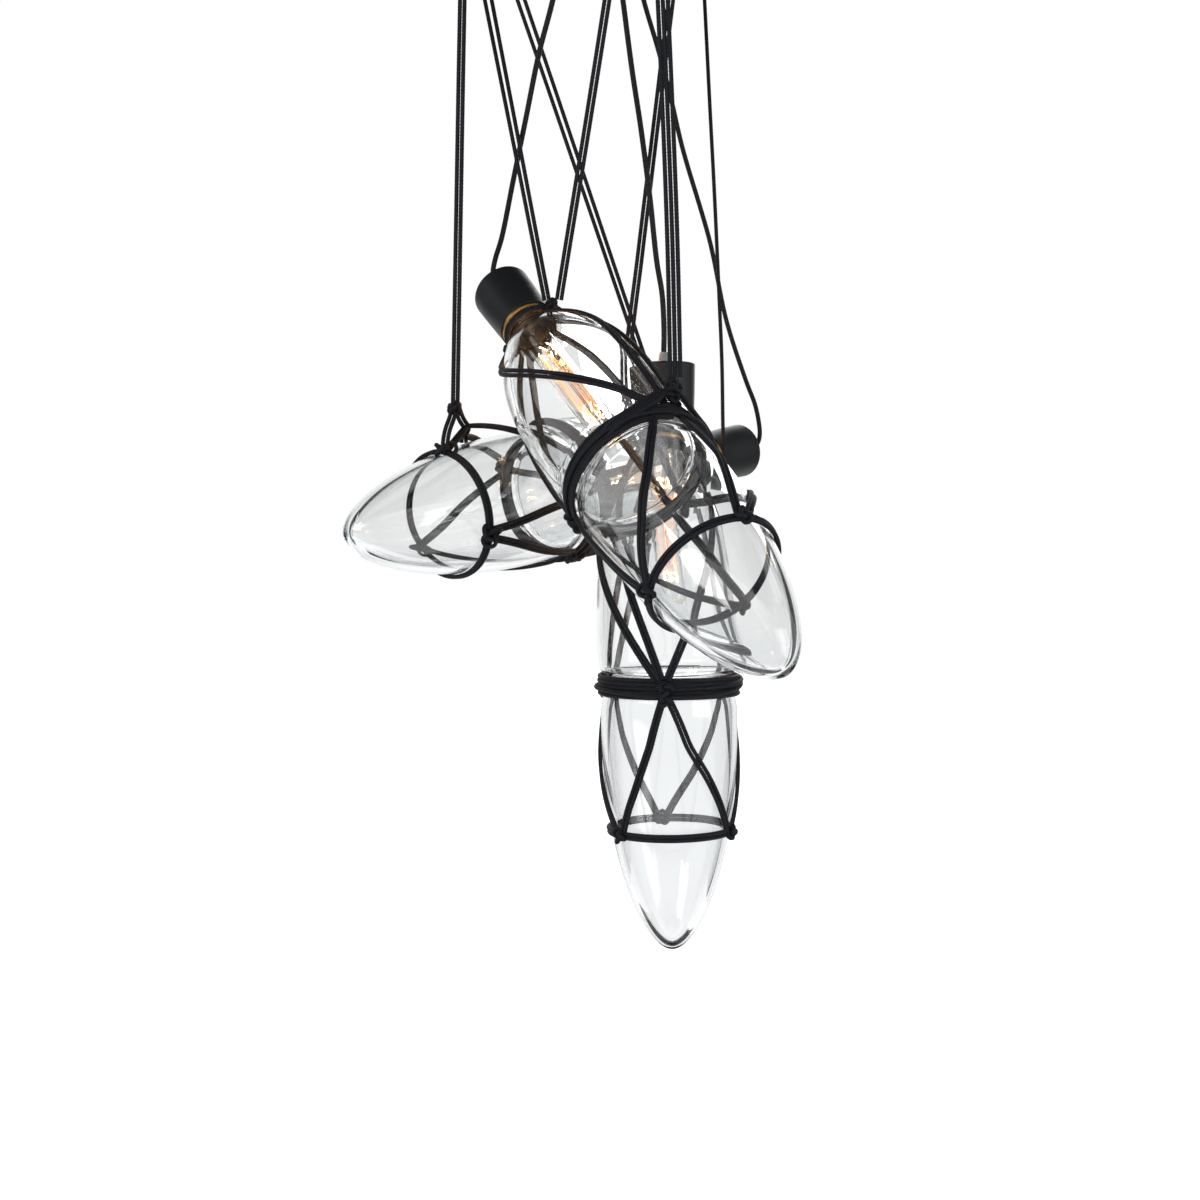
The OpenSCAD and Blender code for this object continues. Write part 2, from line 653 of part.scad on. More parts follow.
// Steel disc with arms whose ends are turned down inside the canopy's wall
module ceiling_bracket() {
    color("silver") difference() {
        union() {
            translate([0, 0, -bracket_t])
                linear_extrude(bracket_t) {
                    circle(d = hub_d);
                    at_side_screws()
                        translate([0, -arm_w / 2])
                            square([arm_end, arm_w]);
                }
            at_side_screws()
                translate([arm_end - bracket_t, -arm_w / 2, -ear_h])
                    cube([bracket_t, arm_w, ear_h]);
        }
        translate([0, 0, -bracket_t - past])
            cylinder(d = supply_hole_d, h = bracket_t + 2 * past);
        translate([earth_at[0], earth_at[1], -bracket_t - past])
            cylinder(d = earth_d + 2 * thread_gap, h = bracket_t + 2 * past);
        at_side_screws() {
            translate([ceiling_pcd / 2, 0, -bracket_t - past])
                cylinder(d = ceiling_hole_d, h = bracket_t + 2 * past);
            translate([arm_end - bracket_t - past, 0, screw_z])
                rotate([0, 90, 0])
                    cylinder(d = side_screw_d + 2 * thread_gap, h = bracket_t + 2 * past);
        }
    }
}

module earth_screw() {
    color("gold") translate([earth_at[0], earth_at[1], -bracket_t]) {
        translate([0, 0, -8])
            cylinder(d = earth_d, h = 8 + bracket_t - fit_gap);
        translate([0, 0, -8 - 3])
            cylinder(d = 2 * earth_d, h = 3);
    }
}

module canopy() {
    r = canopy_d / 2;
    ceiling_gap = 0.5;
    corner = [r - canopy_edge_r, -canopy_h + canopy_edge_r];
    color("black") difference() {
        rotate_extrude()
            polygon(concat(
                [[0, -canopy_h]],
                arc(corner, canopy_edge_r, -90, 0, 6),
                [[r, -ceiling_gap], [r - canopy_wall, -ceiling_gap]],
                arc(corner, canopy_edge_r - canopy_wall, 0, -90, 6),
                [[0, -canopy_h + canopy_wall]]));
        for (row = rope_holes)
            for (at = row)
                translate([at[0], at[1], -canopy_h - past])
                    cylinder(d = rope_hole_d, h = canopy_wall + 2 * past);
        for (at = cable_holes)
            translate([at[0], at[1], -canopy_h - past])
                cylinder(d = grommet_hole_d, h = canopy_wall + 2 * past);
        at_side_screws()
            translate([r - canopy_wall - past, 0, screw_z])
                rotate([0, 90, 0])
                    cylinder(d = side_screw_d + 2 * fit_gap, h = canopy_wall + 2 * past);
    }
}

module canopy_screws() {
    reach = canopy_wall + bracket_t + 3;
    head_x = canopy_d / 2 + 0.1;
    color("dimgray") at_side_screws()
        translate([head_x, 0, screw_z])
            rotate([0, 90, 0]) {
                translate([0, 0, -reach])
                    cylinder(d = side_screw_d, h = reach);
                cylinder(d1 = 2 * side_screw_d + 1, d2 = 2 * side_screw_d, h = 3);
            }
}

// Three way block with its clamping screws, fixed up under the hub
module terminal_block() {
    block = [36, 18, 14];
    way = block[0] / 3;
    low = -bracket_t - block[2];
    color("white") {
        translate([14, -block[1] / 2, low])
            difference() {
                cube(block);
                for (i = [0.5 : 2.5])
                    translate([way * i, -past, block[2] / 2])
                        rotate([-90, 0, 0])
                            cylinder(d = lead_d + 2 * fit_gap, h = 5 + past);
            }
        for (i = [0.5 : 2.5])
            translate([14 + way * i, 0, low - 1.5])
                cylinder(d = 5, h = 1.5);
    }
}

// Rubber bushes that line the cable holes
module cable_grommets() {
    bore = cable_d / 2 + grommet_gap;
    groove = grommet_hole_d / 2 - 0.1;
    rim = grommet_hole_d / 2 + 2.5;
    color("black")
        for (at = cable_holes)
            translate([at[0], at[1], -canopy_h])
                rotate_extrude()
                    polygon([[bore, -2], [rim - 1, -2], [rim, -1], [rim, 0], [groove, 0], [groove, canopy_wall],
                        [rim, canopy_wall], [rim - 1, canopy_wall + 1.5], [bore, canopy_wall + 1.5]]);
}

// Collars that grip each lead above its grommet and take the cable's pull
module cable_grips() {
    bore = lead_d / 2 + thread_gap;
    low = -canopy_h + 8.5;
    color("white")
        for (at = cable_holes)
            translate([at[0], at[1], low])
                difference() {
                    cylinder(r = bore + 3.5, h = 6);
                    translate([0, 0, -past])
                        cylinder(r = bore, h = 6 + 2 * past);
                }
}

module supply_leads() {
    color("black")
        for (route = lead_routes)
            cord(route, lead_d);
}

ceiling_bracket();
earth_screw();
canopy();
canopy_screws();
terminal_block();
cable_grommets();
cable_grips();
supply_leads();
upright_ropes();
slant_ropes();
level_ropes();
for (i = [0 : len(LAMPS) - 1]) {
    lamp = str(LAMPS[i], "_");
    place = lamp_places[i];
    hung(place) cap();
    hung(place) cable_boot();
    hung(place) lampholder();
    hung(place) socket_contacts();
    hung(place) neck_ring();
    hung(place) upper_glass();
    hung(place) lower_glass();
    hung(place) bulb_base();
    hung(place) bulb_glass();
    hung(place) bulb_mount();
    hung(place) filament();
    hung(place) neck_wrap(neck_knots[i]);
    hung(place) waist_wrap(waist_knots[i]);
    hung(place) upper_net(upper_runs[i]);
    hung(place) lower_net(lower_runs[i], ring_knots[i]);
    cable(cable_routes[i]);
}
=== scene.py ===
"""Clear glass pendants held in knotted rope nets, hung from one round ceiling canopy. Metres, +Z up."""
import bpy
import bmesh
import math
import numpy as np
from mathutils import Matrix, Vector


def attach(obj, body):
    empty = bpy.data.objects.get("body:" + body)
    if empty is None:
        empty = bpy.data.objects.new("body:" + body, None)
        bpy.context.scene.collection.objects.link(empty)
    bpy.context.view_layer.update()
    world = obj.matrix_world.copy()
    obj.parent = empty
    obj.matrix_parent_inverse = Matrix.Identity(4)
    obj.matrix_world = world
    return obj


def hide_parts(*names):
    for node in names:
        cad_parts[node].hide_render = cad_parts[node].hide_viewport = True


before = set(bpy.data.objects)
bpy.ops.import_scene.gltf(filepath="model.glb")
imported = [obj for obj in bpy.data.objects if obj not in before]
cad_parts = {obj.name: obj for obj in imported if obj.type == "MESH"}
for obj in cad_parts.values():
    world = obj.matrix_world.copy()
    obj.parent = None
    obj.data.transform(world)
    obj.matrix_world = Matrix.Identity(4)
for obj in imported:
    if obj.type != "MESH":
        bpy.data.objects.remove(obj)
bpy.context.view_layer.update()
scene = bpy.context.scene

# Camera
# It stands level in front of the cluster, at the middle of the photograph's height, and looks along +Y.
# Half the picture's width and the focal length are in pixels of the photograph.
half_picture = 600
focal_length = 1550
camera_data = bpy.data.cameras.new("camera")
camera_data.sensor_fit = "HORIZONTAL"
camera_data.angle = 2 * math.atan(half_picture / focal_length)
camera_data.clip_end = 50
camera = bpy.data.objects.new("camera", camera_data)
scene.collection.objects.link(camera)
camera.location = (0, -1.585, -0.76)
camera.rotation_euler = (math.radians(90), 0, 0)
scene.camera = camera

# Suspension ropes
# Thin braided polyester cord, used double. Each pair is a loop that comes up from a lamp's net and
# passes a hole of the canopy, where a gathered knot stops it. The ropes are taut and swing with the lamp.
rope_d = 0.0042
snug = 0.0045
wide = 0.0077


def values_to(target, **values):
    """Sets plain sockets, whose names are written with underscores."""
    for name, value in values.items():
        target.inputs[name.replace("_", " ").title().replace("Ior", "IOR")].default_value = value


def finish_of(name, **values):
    """A material with one Principled shader, and its tree and shader."""
    material = bpy.data.materials.new(name)
    material.use_nodes = True
    shader = material.node_tree.nodes["Principled BSDF"]
    values_to(shader, **values)
    return material, material.node_tree, shader


def maths(tree, operation, *inputs):
    """The output of a math node whose inputs are numbers or other outputs."""
    node = tree.nodes.new("ShaderNodeMath")
    node.operation = operation
    for socket, value in zip(node.inputs, inputs):
        if isinstance(value, (int, float)):
            socket.default_value = value
        else:
            tree.links.new(value, socket)
    return node.outputs[0]


def socket_of(tree, name, kind, value=None, way="INPUT"):
    """Adds an input or an output to a node group."""
    made = tree.interface.new_socket(name, in_out=way, socket_type="NodeSocket" + kind)
    if value is not None:
        made.default_value = value


def grain_group():
    """Fine irregular grain for a surface: a mask from 0 to 1, and a normal that follows it."""
    group = bpy.data.node_groups.new("grain", "ShaderNodeTree")
    for name, value in (("Scale", 400.0), ("Detail", 3.0), ("Strength", 0.2), ("Depth", 0.0002)):
        socket_of(group, name, "Float", value)
    socket_of(group, "Mask", "Float", way="OUTPUT")
    socket_of(group, "Normal", "Vector", way="OUTPUT")
    inside = group.nodes.new("NodeGroupInput")
    outside = group.nodes.new("NodeGroupOutput")
    place = group.nodes.new("ShaderNodeTexCoord")
    noise = group.nodes.new("ShaderNodeTexNoise")
    bump = group.nodes.new("ShaderNodeBump")
    link = group.links.new
    link(place.outputs["Object"], noise.inputs["Vector"])
    link(inside.outputs["Scale"], noise.inputs["Scale"])
    link(inside.outputs["Detail"], noise.inputs["Detail"])
    link(noise.outputs["Fac"], bump.inputs["Height"])
    link(inside.outputs["Strength"], bump.inputs["Strength"])
    link(inside.outputs["Depth"], bump.inputs["Distance"])
    link(noise.outputs["Fac"], outside.inputs["Mask"])
    link(bump.outputs["Normal"], outside.inputs["Normal"])
    return group


grain = grain_group()


def add_grain(tree, **values):
    """One use of the grain group in a material."""
    node = tree.nodes.new("ShaderNodeGroup")
    node.node_tree = grain
    values_to(node, **values)
    return node


def spread_over(tree, fac, low, high, target):
    """Feeds target a number or a colour that goes from low to high with fac."""
    if isinstance(low, tuple):
        mix = tree.nodes.new("ShaderNodeMix")
        mix.data_type = "RGBA"
        mix.inputs["A"].default_value, mix.inputs["B"].default_value = (*low, 1), (*high, 1)
        tree.links.new(fac, mix.inputs["Factor"])
        tree.links.new(mix.outputs["Result"], target)
    else:
        ramp = tree.nodes.new("ShaderNodeMapRange")
        ramp.inputs["To Min"].default_value, ramp.inputs["To Max"].default_value = low, high
        tree.links.new(fac, ramp.inputs["Value"])
        tree.links.new(ramp.outputs["Result"], target)


def braid_finish(name, shaded_valley, crown, roughness):
    """Dyed black yarn, with painted shade that darkens it where the braid dips, and loose fibres over it."""
    material, tree, shader = finish_of(name, roughness=roughness, specular_ior_level=0.15,
                                       sheen_weight=0.04, sheen_roughness=0.4)
    height = tree.nodes.new("ShaderNodeAttribute")
    height.attribute_name = "plait"
    fibres = add_grain(tree, scale=2600.0, detail=4.0, strength=0.5, depth=0.0003)
    # Painted shade: the plait height darkens the colour in the braid's dips, with fibre grain over it.
    shade = maths(tree, "MULTIPLY", height.outputs["Fac"], maths(tree, "ADD", fibres.outputs["Mask"], 0.4))
    spread_over(tree, shade, shaded_valley, crown, shader.inputs["Base Color"])
    tree.links.new(fibres.outputs["Normal"], shader.inputs["Normal"])
    return material


# The rope's first colour is the painted shade in the braid's dips, the second its crowns.
rope_finish = braid_finish("black_rope", (0.0011, 0.0012, 0.0018), (0.0125, 0.0135, 0.019), 0.62)


def braid_nodes():
    """Geometry nodes: a tube along each curve, whose skin rises and dips as the yarns of a braid do."""
    tree = bpy.data.node_groups.new("braided_tube", "GeometryNodeTree")
    socket_of(tree, "Geometry", "Geometry")
    for name, value in (("Radius", 0.002), ("Spacing", 0.0015), ("Pitch", 0.007), ("Relief", 0.0004)):
        socket_of(tree, name, "Float", value)
    for name, value in (("Sides", 12), ("Lobes", 3)):
        socket_of(tree, name, "Int", value)
    socket_of(tree, "Finish", "Material")
    socket_of(tree, "Geometry", "Geometry", way="OUTPUT")
    new, link = tree.nodes.new, tree.links.new
    given, result = new("NodeGroupInput"), new("NodeGroupOutput")

    def calc(operation, *inputs):
        return maths(tree, operation, *inputs)

    def remembered(curve, output):
        keep = new("GeometryNodeCaptureAttribute")
        keep.capture_items.new("FLOAT", "kept")
        link(curve, keep.inputs["Geometry"])
        link(new("GeometryNodeSplineParameter").outputs[output], keep.inputs["kept"])
        return keep.outputs["Geometry"], keep.outputs["kept"]

    even = new("GeometryNodeResampleCurve")
    even.mode = "LENGTH"
    link(given.outputs["Geometry"], even.inputs["Curve"])
    link(given.outputs["Spacing"], even.inputs["Length"])
    line, along = remembered(even.outputs["Curve"], "Length")
    ring = new("GeometryNodeCurvePrimitiveCircle")
    link(given.outputs["Sides"], ring.inputs["Resolution"])
    link(given.outputs["Radius"], ring.inputs["Radius"])
    profile, around = remembered(ring.outputs["Curve"], "Factor")
    skin = new("GeometryNodeCurveToMesh")
    link(line, skin.inputs["Curve"])
    link(profile, skin.inputs["Profile Curve"])
    skin.inputs["Fill Caps"].default_value = True
    turn = calc("MULTIPLY", calc("MULTIPLY", around, given.outputs["Lobes"]), 2 * math.pi)
    run = calc("MULTIPLY", calc("DIVIDE", along, given.outputs["Pitch"]), 2 * math.pi)
    weave = calc("MULTIPLY", calc("COSINE", calc("ADD", turn, run)), calc("COSINE", calc("SUBTRACT", turn, run)))
    height = calc("MULTIPLY_ADD", weave, 0.5, 0.5)
    lift = new("ShaderNodeVectorMath")
    lift.operation = "SCALE"
    link(new("GeometryNodeInputNormal").outputs["Normal"], lift.inputs[0])
    link(calc("MULTIPLY", calc("SUBTRACT", height, 0.5), given.outputs["Relief"]), lift.inputs["Scale"])
    shaped = new("GeometryNodeSetPosition")
    link(skin.outputs["Mesh"], shaped.inputs["Geometry"])
    link(lift.outputs["Vector"], shaped.inputs["Offset"])
    stored = new("GeometryNodeStoreNamedAttribute")
    stored.data_type, stored.domain = "FLOAT", "POINT"
    stored.inputs["Name"].default_value = "plait"
    link(shaped.outputs["Geometry"], stored.inputs["Geometry"])
    link(height, stored.inputs["Value"])
    smooth = new("GeometryNodeSetShadeSmooth")
    link(stored.outputs["Geometry"], smooth.inputs["Geometry"])
    real = new("GeometryNodeRealizeInstances")
    link(smooth.outputs["Geometry"], real.inputs["Geometry"])
    dressed = new("GeometryNodeSetMaterial")
    link(real.outputs["Geometry"], dressed.inputs["Geometry"])
    link(given.outputs["Finish"], dressed.inputs["Material"])
    link(dressed.outputs["Geometry"], result.inputs["Geometry"])
    return tree


braided_tube = braid_nodes()


def linked(name, mesh):
    """A new object of the scene."""
    piece = bpy.data.objects.new(name, mesh)
    scene.collection.objects.link(piece)
    return piece


def from_nodes(name, source, tree, **inputs):
    """Runs a geometry node tree on source and keeps the result as a plain mesh."""
    modifier = source.modifiers.new("shape", "NODES")
    modifier.node_group = tree
    sockets = {s.name: s.identifier for s in tree.interface.items_tree if s.in_out == "INPUT"}
    for key, value in inputs.items():
        modifier[sockets[key.title()]] = value
    bpy.context.view_layer.update()
    graph = bpy.context.evaluated_depsgraph_get()
    mesh = bpy.data.meshes.new_from_object(source.evaluated_get(graph), depsgraph=graph)
    old = source.data
    source.modifiers.clear()
    bpy.data.objects.remove(source)
    if isinstance(old, bpy.types.Curve):
        bpy.data.curves.remove(old)
    mesh.name = name
    return linked(name, mesh)


def braided(name, lines, finish, radius=rope_d / 2, closed=False, **inputs):
    """One mesh of braided tubes along the lines, which are rows of points in metres."""
    curve = bpy.data.curves.new(name, "CURVE")
    curve.dimensions = "3D"
    for line in lines:
        spline = curve.splines.new("POLY")
        spline.points.add(len(line) - 1)
        spline.points.foreach_set("co", np.c_[line, np.ones(len(line))].ravel())
        spline.use_cyclic_u = closed
    return from_nodes(name, linked(name + "_line", curve), braided_tube, radius=radius, finish=finish, **inputs)


def smooth_route(points, step=0.004):
    """A smooth curve through the points of a route given in millimetres, as evenly spaced points in metres."""
    p = np.array(points, float) / 1000
    p = np.vstack([2 * p[0] - p[1], p, 2 * p[-1] - p[-2]])
    fine = []
    for i in range(1, len(p) - 2):
        t = np.linspace(0, 1, 24, endpoint=False)[:, None]
        knots = np.cumsum([0] + [np.linalg.norm(p[i + k] - p[i + k - 1]) ** 0.5 for k in (0, 1, 2)])
        x = knots[1] + (knots[2] - knots[1]) * t
        a = [(knots[k + 1] - x) / (knots[k + 1] - knots[k]) * p[i + k - 1]
             + (x - knots[k]) / (knots[k + 1] - knots[k]) * p[i + k] for k in (0, 1, 2)]
        b = [(knots[k + 2] - x) / (knots[k + 2] - knots[k]) * a[k]
             + (x - knots[k]) / (knots[k + 2] - knots[k]) * a[k + 1] for k in (0, 1)]
        fine.append((knots[2] - x) / (knots[2] - knots[1]) * b[0] + (x - knots[1]) / (knots[2] - knots[1]) * b[1])
    fine = np.vstack([*fine, p[-2]])
    run = np.r_[0, np.cumsum(np.linalg.norm(np.diff(fine, axis=0), axis=1))]
    at = np.linspace(0, run[-1], max(4, round(run[-1] / step)) + 1)
    return np.c_[[np.interp(at, run, fine[:, k]) for k in range(3)]].T


def tangents(line):
    """The direction of the line at each of its points."""
    t = np.gradient(line, axis=0)
    return t / np.linalg.norm(t, axis=1)[:, None]


def beside(line, offset, facing=(0, 1, 0)):
    """The line moved sideways, as seen along the facing direction."""
    side = np.cross(tangents(line), facing)
    side /= np.linalg.norm(side, axis=1)[:, None]
    return line + np.asarray(offset).reshape(-1, 1) * side


def settle(piece, body, node):
    """The piece stands for the CAD node, which is hidden, and rides its body."""
    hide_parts(node)
    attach(piece, body)
    return piece


def hang_rope(name, body, node, route, offsets, low=snug, high=snug):
    """A rope, or several side by side, from a lamp's net up to the canopy."""
    line = smooth_route(route)
    gap = np.linspace(low, high, len(line))
    piece = braided(name, [beside(line, k * gap) for k in offsets], rope_finish)
    settle(piece, body, node)


pair = (-0.5, 0.5)
hang_rope("upright_left_rope", "upright", "upright_ropes",
          [[29.5, -33, -594], [27.7, -33, -565], [27.6, -32.8, -522], [40, -31.5, -415], [52, -30.5, -316],
           [63, -29.5, -225], [75, -28, -127], [85, -27, -46], [86, -27, -39], [86, -27, -33]], pair)
hang_rope("upright_back_rope", "upright", "upright_ropes",
          [[71, -0.5, -591], [60, 1, -560], [47.5, -1, -524], [19, -5, -441], [-16, -11, -339],
           [-50, -16, -240], [-85, -21.5, -139], [-116.5, -26.5, -47], [-119, -27, -39], [-119, -27, -33]],
          pair, snug, wide)
hang_rope("slant_left_rope", "slant", "slant_ropes",
          [[-53.5, -28, -458.5], [-62, -26, -415], [-80, -21, -322], [-98, -15.5, -230],
           [-117, -10, -133], [-134, -5.3, -46], [-135, -5, -39], [-135, -5, -33]], pair, snug, wide)
hang_rope("slant_right_rope", "slant", "slant_ropes",
          [[-41, -32.5, -459], [-33, -49, -415], [-16, -79, -322], [0, -109, -232], [17, -141, -133],
           [31.5, -169, -46], [33, -172, -39], [33, -172, -33]], pair)
hang_rope("slant_waist_rope", "slant", "slant_ropes",
          [[67, -208, -562.5], [64.5, -203.5, -440], [60, -198, -310], [54.5, -192.5, -180],
           [49, -187.5, -46], [48.5, -187, -39], [48.5, -187, -33]], (-1, 0, 1))
hang_rope("level_left_rope", "level", "level_ropes",
          [[-141.5, -69.8, -567], [-140.5, -65, -480], [-139, -59, -360], [-137.5, -53, -240],
           [-136, -47, -130], [-135, -43, -46], [-135, -42.5, -39], [-135, -42.5, -33]], pair)
hang_rope("level_right_rope", "level", "level_ropes",
          [[141.5, 186, -598], [140.5, 187, -560], [139.5, 188.5, -490], [136.5, 190, -415],
           [131.5, 192.5, -300], [126, 195, -190], [119, 198.3, -46], [118.5, 198.5, -39],
           [118.5, 198.5, -33]], (0,))

# Power cables
# Round mains cable under a fine black textile braid. Each leaves a lamp's boot, hangs a little slack
# beside the ropes and passes a rubber bush of the canopy, where dark leads run on to the terminals.
cable_d = 0.0055
lead_d = 0.0045
# The sheath's first colour is the painted shade in the braid's dips, the second its crowns.
cable_finish = braid_finish("cable_sheath", (0.003, 0.003, 0.004), (0.014, 0.014, 0.016), 0.6)


def grained(name, grains, spreads=None, **values):
    """A finish with grain, which spreads sockets between two ends and, unless its strength is 0, bends the normal."""
    material, tree, shader = finish_of(name, **values)
    node = add_grain(tree, **grains)
    for socket, (low, high) in (spreads or {}).items():
        spread_over(tree, node.outputs["Mask"], low, high, shader.inputs[socket])
    if grains["strength"]:
        tree.links.new(node.outputs["Normal"], shader.inputs["Normal"])
    return material


lead_finish = grained("lead_sheath", {"scale": 900.0, "strength": 0.1},
                      base_color=(0.02, 0.02, 0.021, 1), roughness=0.4)


def lay_cable(name, body, node, route, diameter, finish, relief):
    """A cable that rides a body and hangs a little slack along its route."""
    line = smooth_route(route)
    piece = braided(name, [line], finish, diameter / 2, sides=12, lobes=4, pitch=0.006, relief=relief,
                    spacing=0.002)
    settle(piece, body, node)


cable_routes = {
    "upright": [[63.8, -35.3, -512.2], [64, -36, -490], [62, -38, -455], [56.5, -42, -423], [49.5, -46, -360],
                [40.5, -44, -290], [32, -40, -232], [22.5, -35, -157], [14.5, -30, -95], [9, -27.5, -60],
                [8, -27, -45], [8, -27, -33]],
    "slant": [[-106.7, 33.8, -432.2], [-110.5, 39.5, -426], [-112.5, 43.5, -416], [-110, 42.5, -402],
              [-103, 34, -383], [-89, 8, -328], [-75, -19, -274], [-60.5, -46, -217], [-46, -70, -173],
              [-34, -92, -125], [-25.5, -109, -84], [-21, -117, -56], [-20, -119, -43], [-20, -119, -33]],
    "level": [[175, 269, -579.5], [183, 277.5, -577], [190, 284, -571], [193, 288, -561], [192.5, 289, -549],
              [187.5, 287, -525], [176, 283, -496], [151, 267, -426], [130, 245, -338], [95, 201, -239],
              [80, 179, -186], [65, 157, -140], [48.5, 136, -94], [41, 126, -64], [38.3, 122, -49],
              [38, 121.5, -42], [38, 121.5, -33]]}
for lamp, route in cable_routes.items():
    lay_cable(lamp + "_power_cable", lamp, lamp + "_cable", route, cable_d, cable_finish, 0.00015)
lead_routes = {
    "upright": [[20, -6.5, -10], [20, -11, -10], [18.5, -17, -10.3], [14, -23, -12.5], [10, -26, -17.5],
                [8, -27, -24], [8, -27, -32.7]],
    "slant": [[32, -6.5, -10], [32, -15, -10.5], [26, -26, -12.5], [10, -58, -16.5], [-6, -90, -17.5],
              [-17, -112, -19], [-20, -119, -24], [-20, -119, -32.1]],
    "level": [[44, -6.5, -10], [44.5, -16, -10], [50, -24, -11], [66, -20, -14], [76, 5, -18], [74, 40, -19],
              [60, 80, -19], [41, 115, -19.5], [38, 121.5, -24], [38, 121.5, -32.7]]}
for lamp, route in lead_routes.items():
    lay_cable(lamp + "_lead", "ceiling_canopy", "supply_leads", route, lead_d, lead_finish, 0.0)

# Upper glasses
# Blown clear glass, open at the neck and closed below. A lip at the neck hangs in the cap's ring.
# The lamps are alike, and each stands in its own place, lean and heading. Levels count down from the cap's end.
lamp_places = {"upright": ((64, -35, -524.5), 1.7, 59), "slant": ((-101.5, 26, -440), 50, -56.2),
               "level": ((166.5, 260.5, -582), 78.3, 225.9)}
lamp_frames = {}
for lamp, (top, lean, heading) in lamp_places.items():
    lamp_frames[lamp] = (Matrix.Translation(Vector(top) / 1000) @ Matrix.Rotation(math.radians(heading), 4, "Z")
                         @ Matrix.Rotation(math.radians(-lean), 4, "Y"))


def put(lamp, points):
    """Points of a lamp's own frame, in millimetres, as points of the part's frame, in metres."""
    m = np.array(lamp_frames[lamp])
    return np.asarray(points, float) / 1000 @ m[:3, :3].T + m[:3, 3]


def bend(a, b, c, d, n):
    """Points of a cubic curve, without the first one."""
    t = np.arange(1, n + 1)[:, None] / n
    a, b, c, d = (np.array(v, float) for v in (a, b, c, d))
    return (1 - t) ** 3 * a + 3 * (1 - t) ** 2 * t * b + 3 * (1 - t) * t * t * c + t ** 3 * d


def corner(centre, radius, start, end, n):
    """Points of an arc between two angles in degrees."""
    a = np.radians(np.linspace(start, end, n + 1))
    return np.array(centre) + radius * np.c_[np.cos(a), np.sin(a)]


def lathe(name, lamp, shells, finish, segments=112, sharp=40):
    """Turned pieces: each shell is a row of [radius, level], with the solid to the left of its way down."""
    mesh = bpy.data.meshes.new(name)
    made = bmesh.new()
    around = np.linspace(0, 2 * math.pi, segments, endpoint=False)
    for shell in shells:
        rings = []
        for radius, level in shell:
            if radius < 1e-6:
                rings.append([made.verts.new((0, 0, -level))] * segments)
            else:
                rings.append([made.verts.new((radius * math.cos(a), radius * math.sin(a), -level)) for a in around])
        closed = np.allclose(shell[0], shell[-1]) and len(shell) > 2
        if closed:
            for v in rings[-1]:
                made.verts.remove(v)
            rings[-1] = rings[0]
        for top, low in zip(rings, rings[1:]):
            for k in range(segments):
                n = (k + 1) % segments
                face = list(dict.fromkeys((top[k], low[k], low[n], top[n])))
                if len(face) > 2:
                    made.faces.new(face)
    made.to_mesh(mesh)
    made.free()
    for polygon in mesh.polygons:
        polygon.use_smooth = True
    mesh.set_sharp_from_angle(angle=math.radians(sharp))
    co = np.empty(len(mesh.vertices) * 3)
    mesh.vertices.foreach_get("co", co)
    mesh.vertices.foreach_set("co", put(lamp, co.reshape(-1, 3)).ravel())
    mesh.update()
    piece = linked(name, mesh)
    mesh.materials.append(finish)
    return piece


def glass_finish(name, tint, wave, depth, density):
    """Clear glass that darkens with the length of the way through it, with slow waves in its skin."""
    material, tree, shader = finish_of(name, base_color=(*tint, 1), roughness=0.0, transmission_weight=1.0, ior=1.5)
    waves = add_grain(tree, scale=wave, detail=1.0, strength=1.0, depth=depth)
    tree.links.new(waves.outputs["Normal"], shader.inputs["Normal"])
    smoke = tree.nodes.new("ShaderNodeVolumeAbsorption")
    smoke.inputs["Color"].default_value = (0.35, 0.38, 0.39, 1)
    smoke.inputs["Density"].default_value = density
    tree.links.new(smoke.outputs["Volume"], tree.nodes["Material Output"].inputs["Volume"])
    return material


clear_glass = glass_finish("clear_glass", (0.985, 0.99, 0.99), 14.0, 0.0012, 14.0)
neck_r = 24.2
upper_r = 71.3
upper_wall = 3.2
upper_bottom = 311
flare_start = 80


def upper_outline(inset):
    """The upper glass's outline from neck to foot, moved inwards by inset."""
    rn, rw, rc = neck_r - inset, upper_r - inset, 13 - inset
    foot = upper_bottom - inset
    wide_at = upper_bottom - 45
    flare = np.array([rn + 9, flare_start + 14 + inset / 2])
    return np.vstack([
        [[rn, flare_start - 4]],
        bend([rn, flare_start - 4], [rn, flare_start + 4], flare - [5, 6], flare, 14),
        bend(flare, flare + [29, 44], [rw, wide_at - 100], [rw, wide_at], 48),
        bend([rw, wide_at], [rw, wide_at + 20], [rw, foot - rc - 8], [rw - 1, foot - rc], 10),
        corner([rw - 1 - rc, foot - rc], rc, 10, 90, 14),
        [[0, foot]]])


lip_r = 25.9
neck_lip = 44
for lamp in lamp_places:
    lip = [[neck_r - upper_wall, neck_lip + 1.4], [neck_r - upper_wall + 1.4, neck_lip], [lip_r - 1, neck_lip],
           [lip_r, neck_lip + 1], [lip_r, neck_lip + 4.5], [neck_r, neck_lip + 5.6]]
    shell = np.vstack([lip, upper_outline(0), upper_outline(upper_wall)[::-1], lip[:1]])
    glass = lathe(lamp + "_upper_bottle", lamp, [shell], clear_glass)
    glass.visible_shadow = False
    settle(glass, lamp, lamp + "_upper_glass")

# Lower glasses
# A closed hollow bullet of the same clear glass, with a flat top and a slightly thicker pointed end. It has
# no fixing: the rope net carries it, a finger's width below the upper glass.
lower_r = 68.6
lower_top = 321
tip_level = 588
lower_wall = 5
tip_wall = 8
thick_glass = glass_finish("thick_glass", (0.985, 0.99, 0.99), 7.0, 0.0006, 14.0)


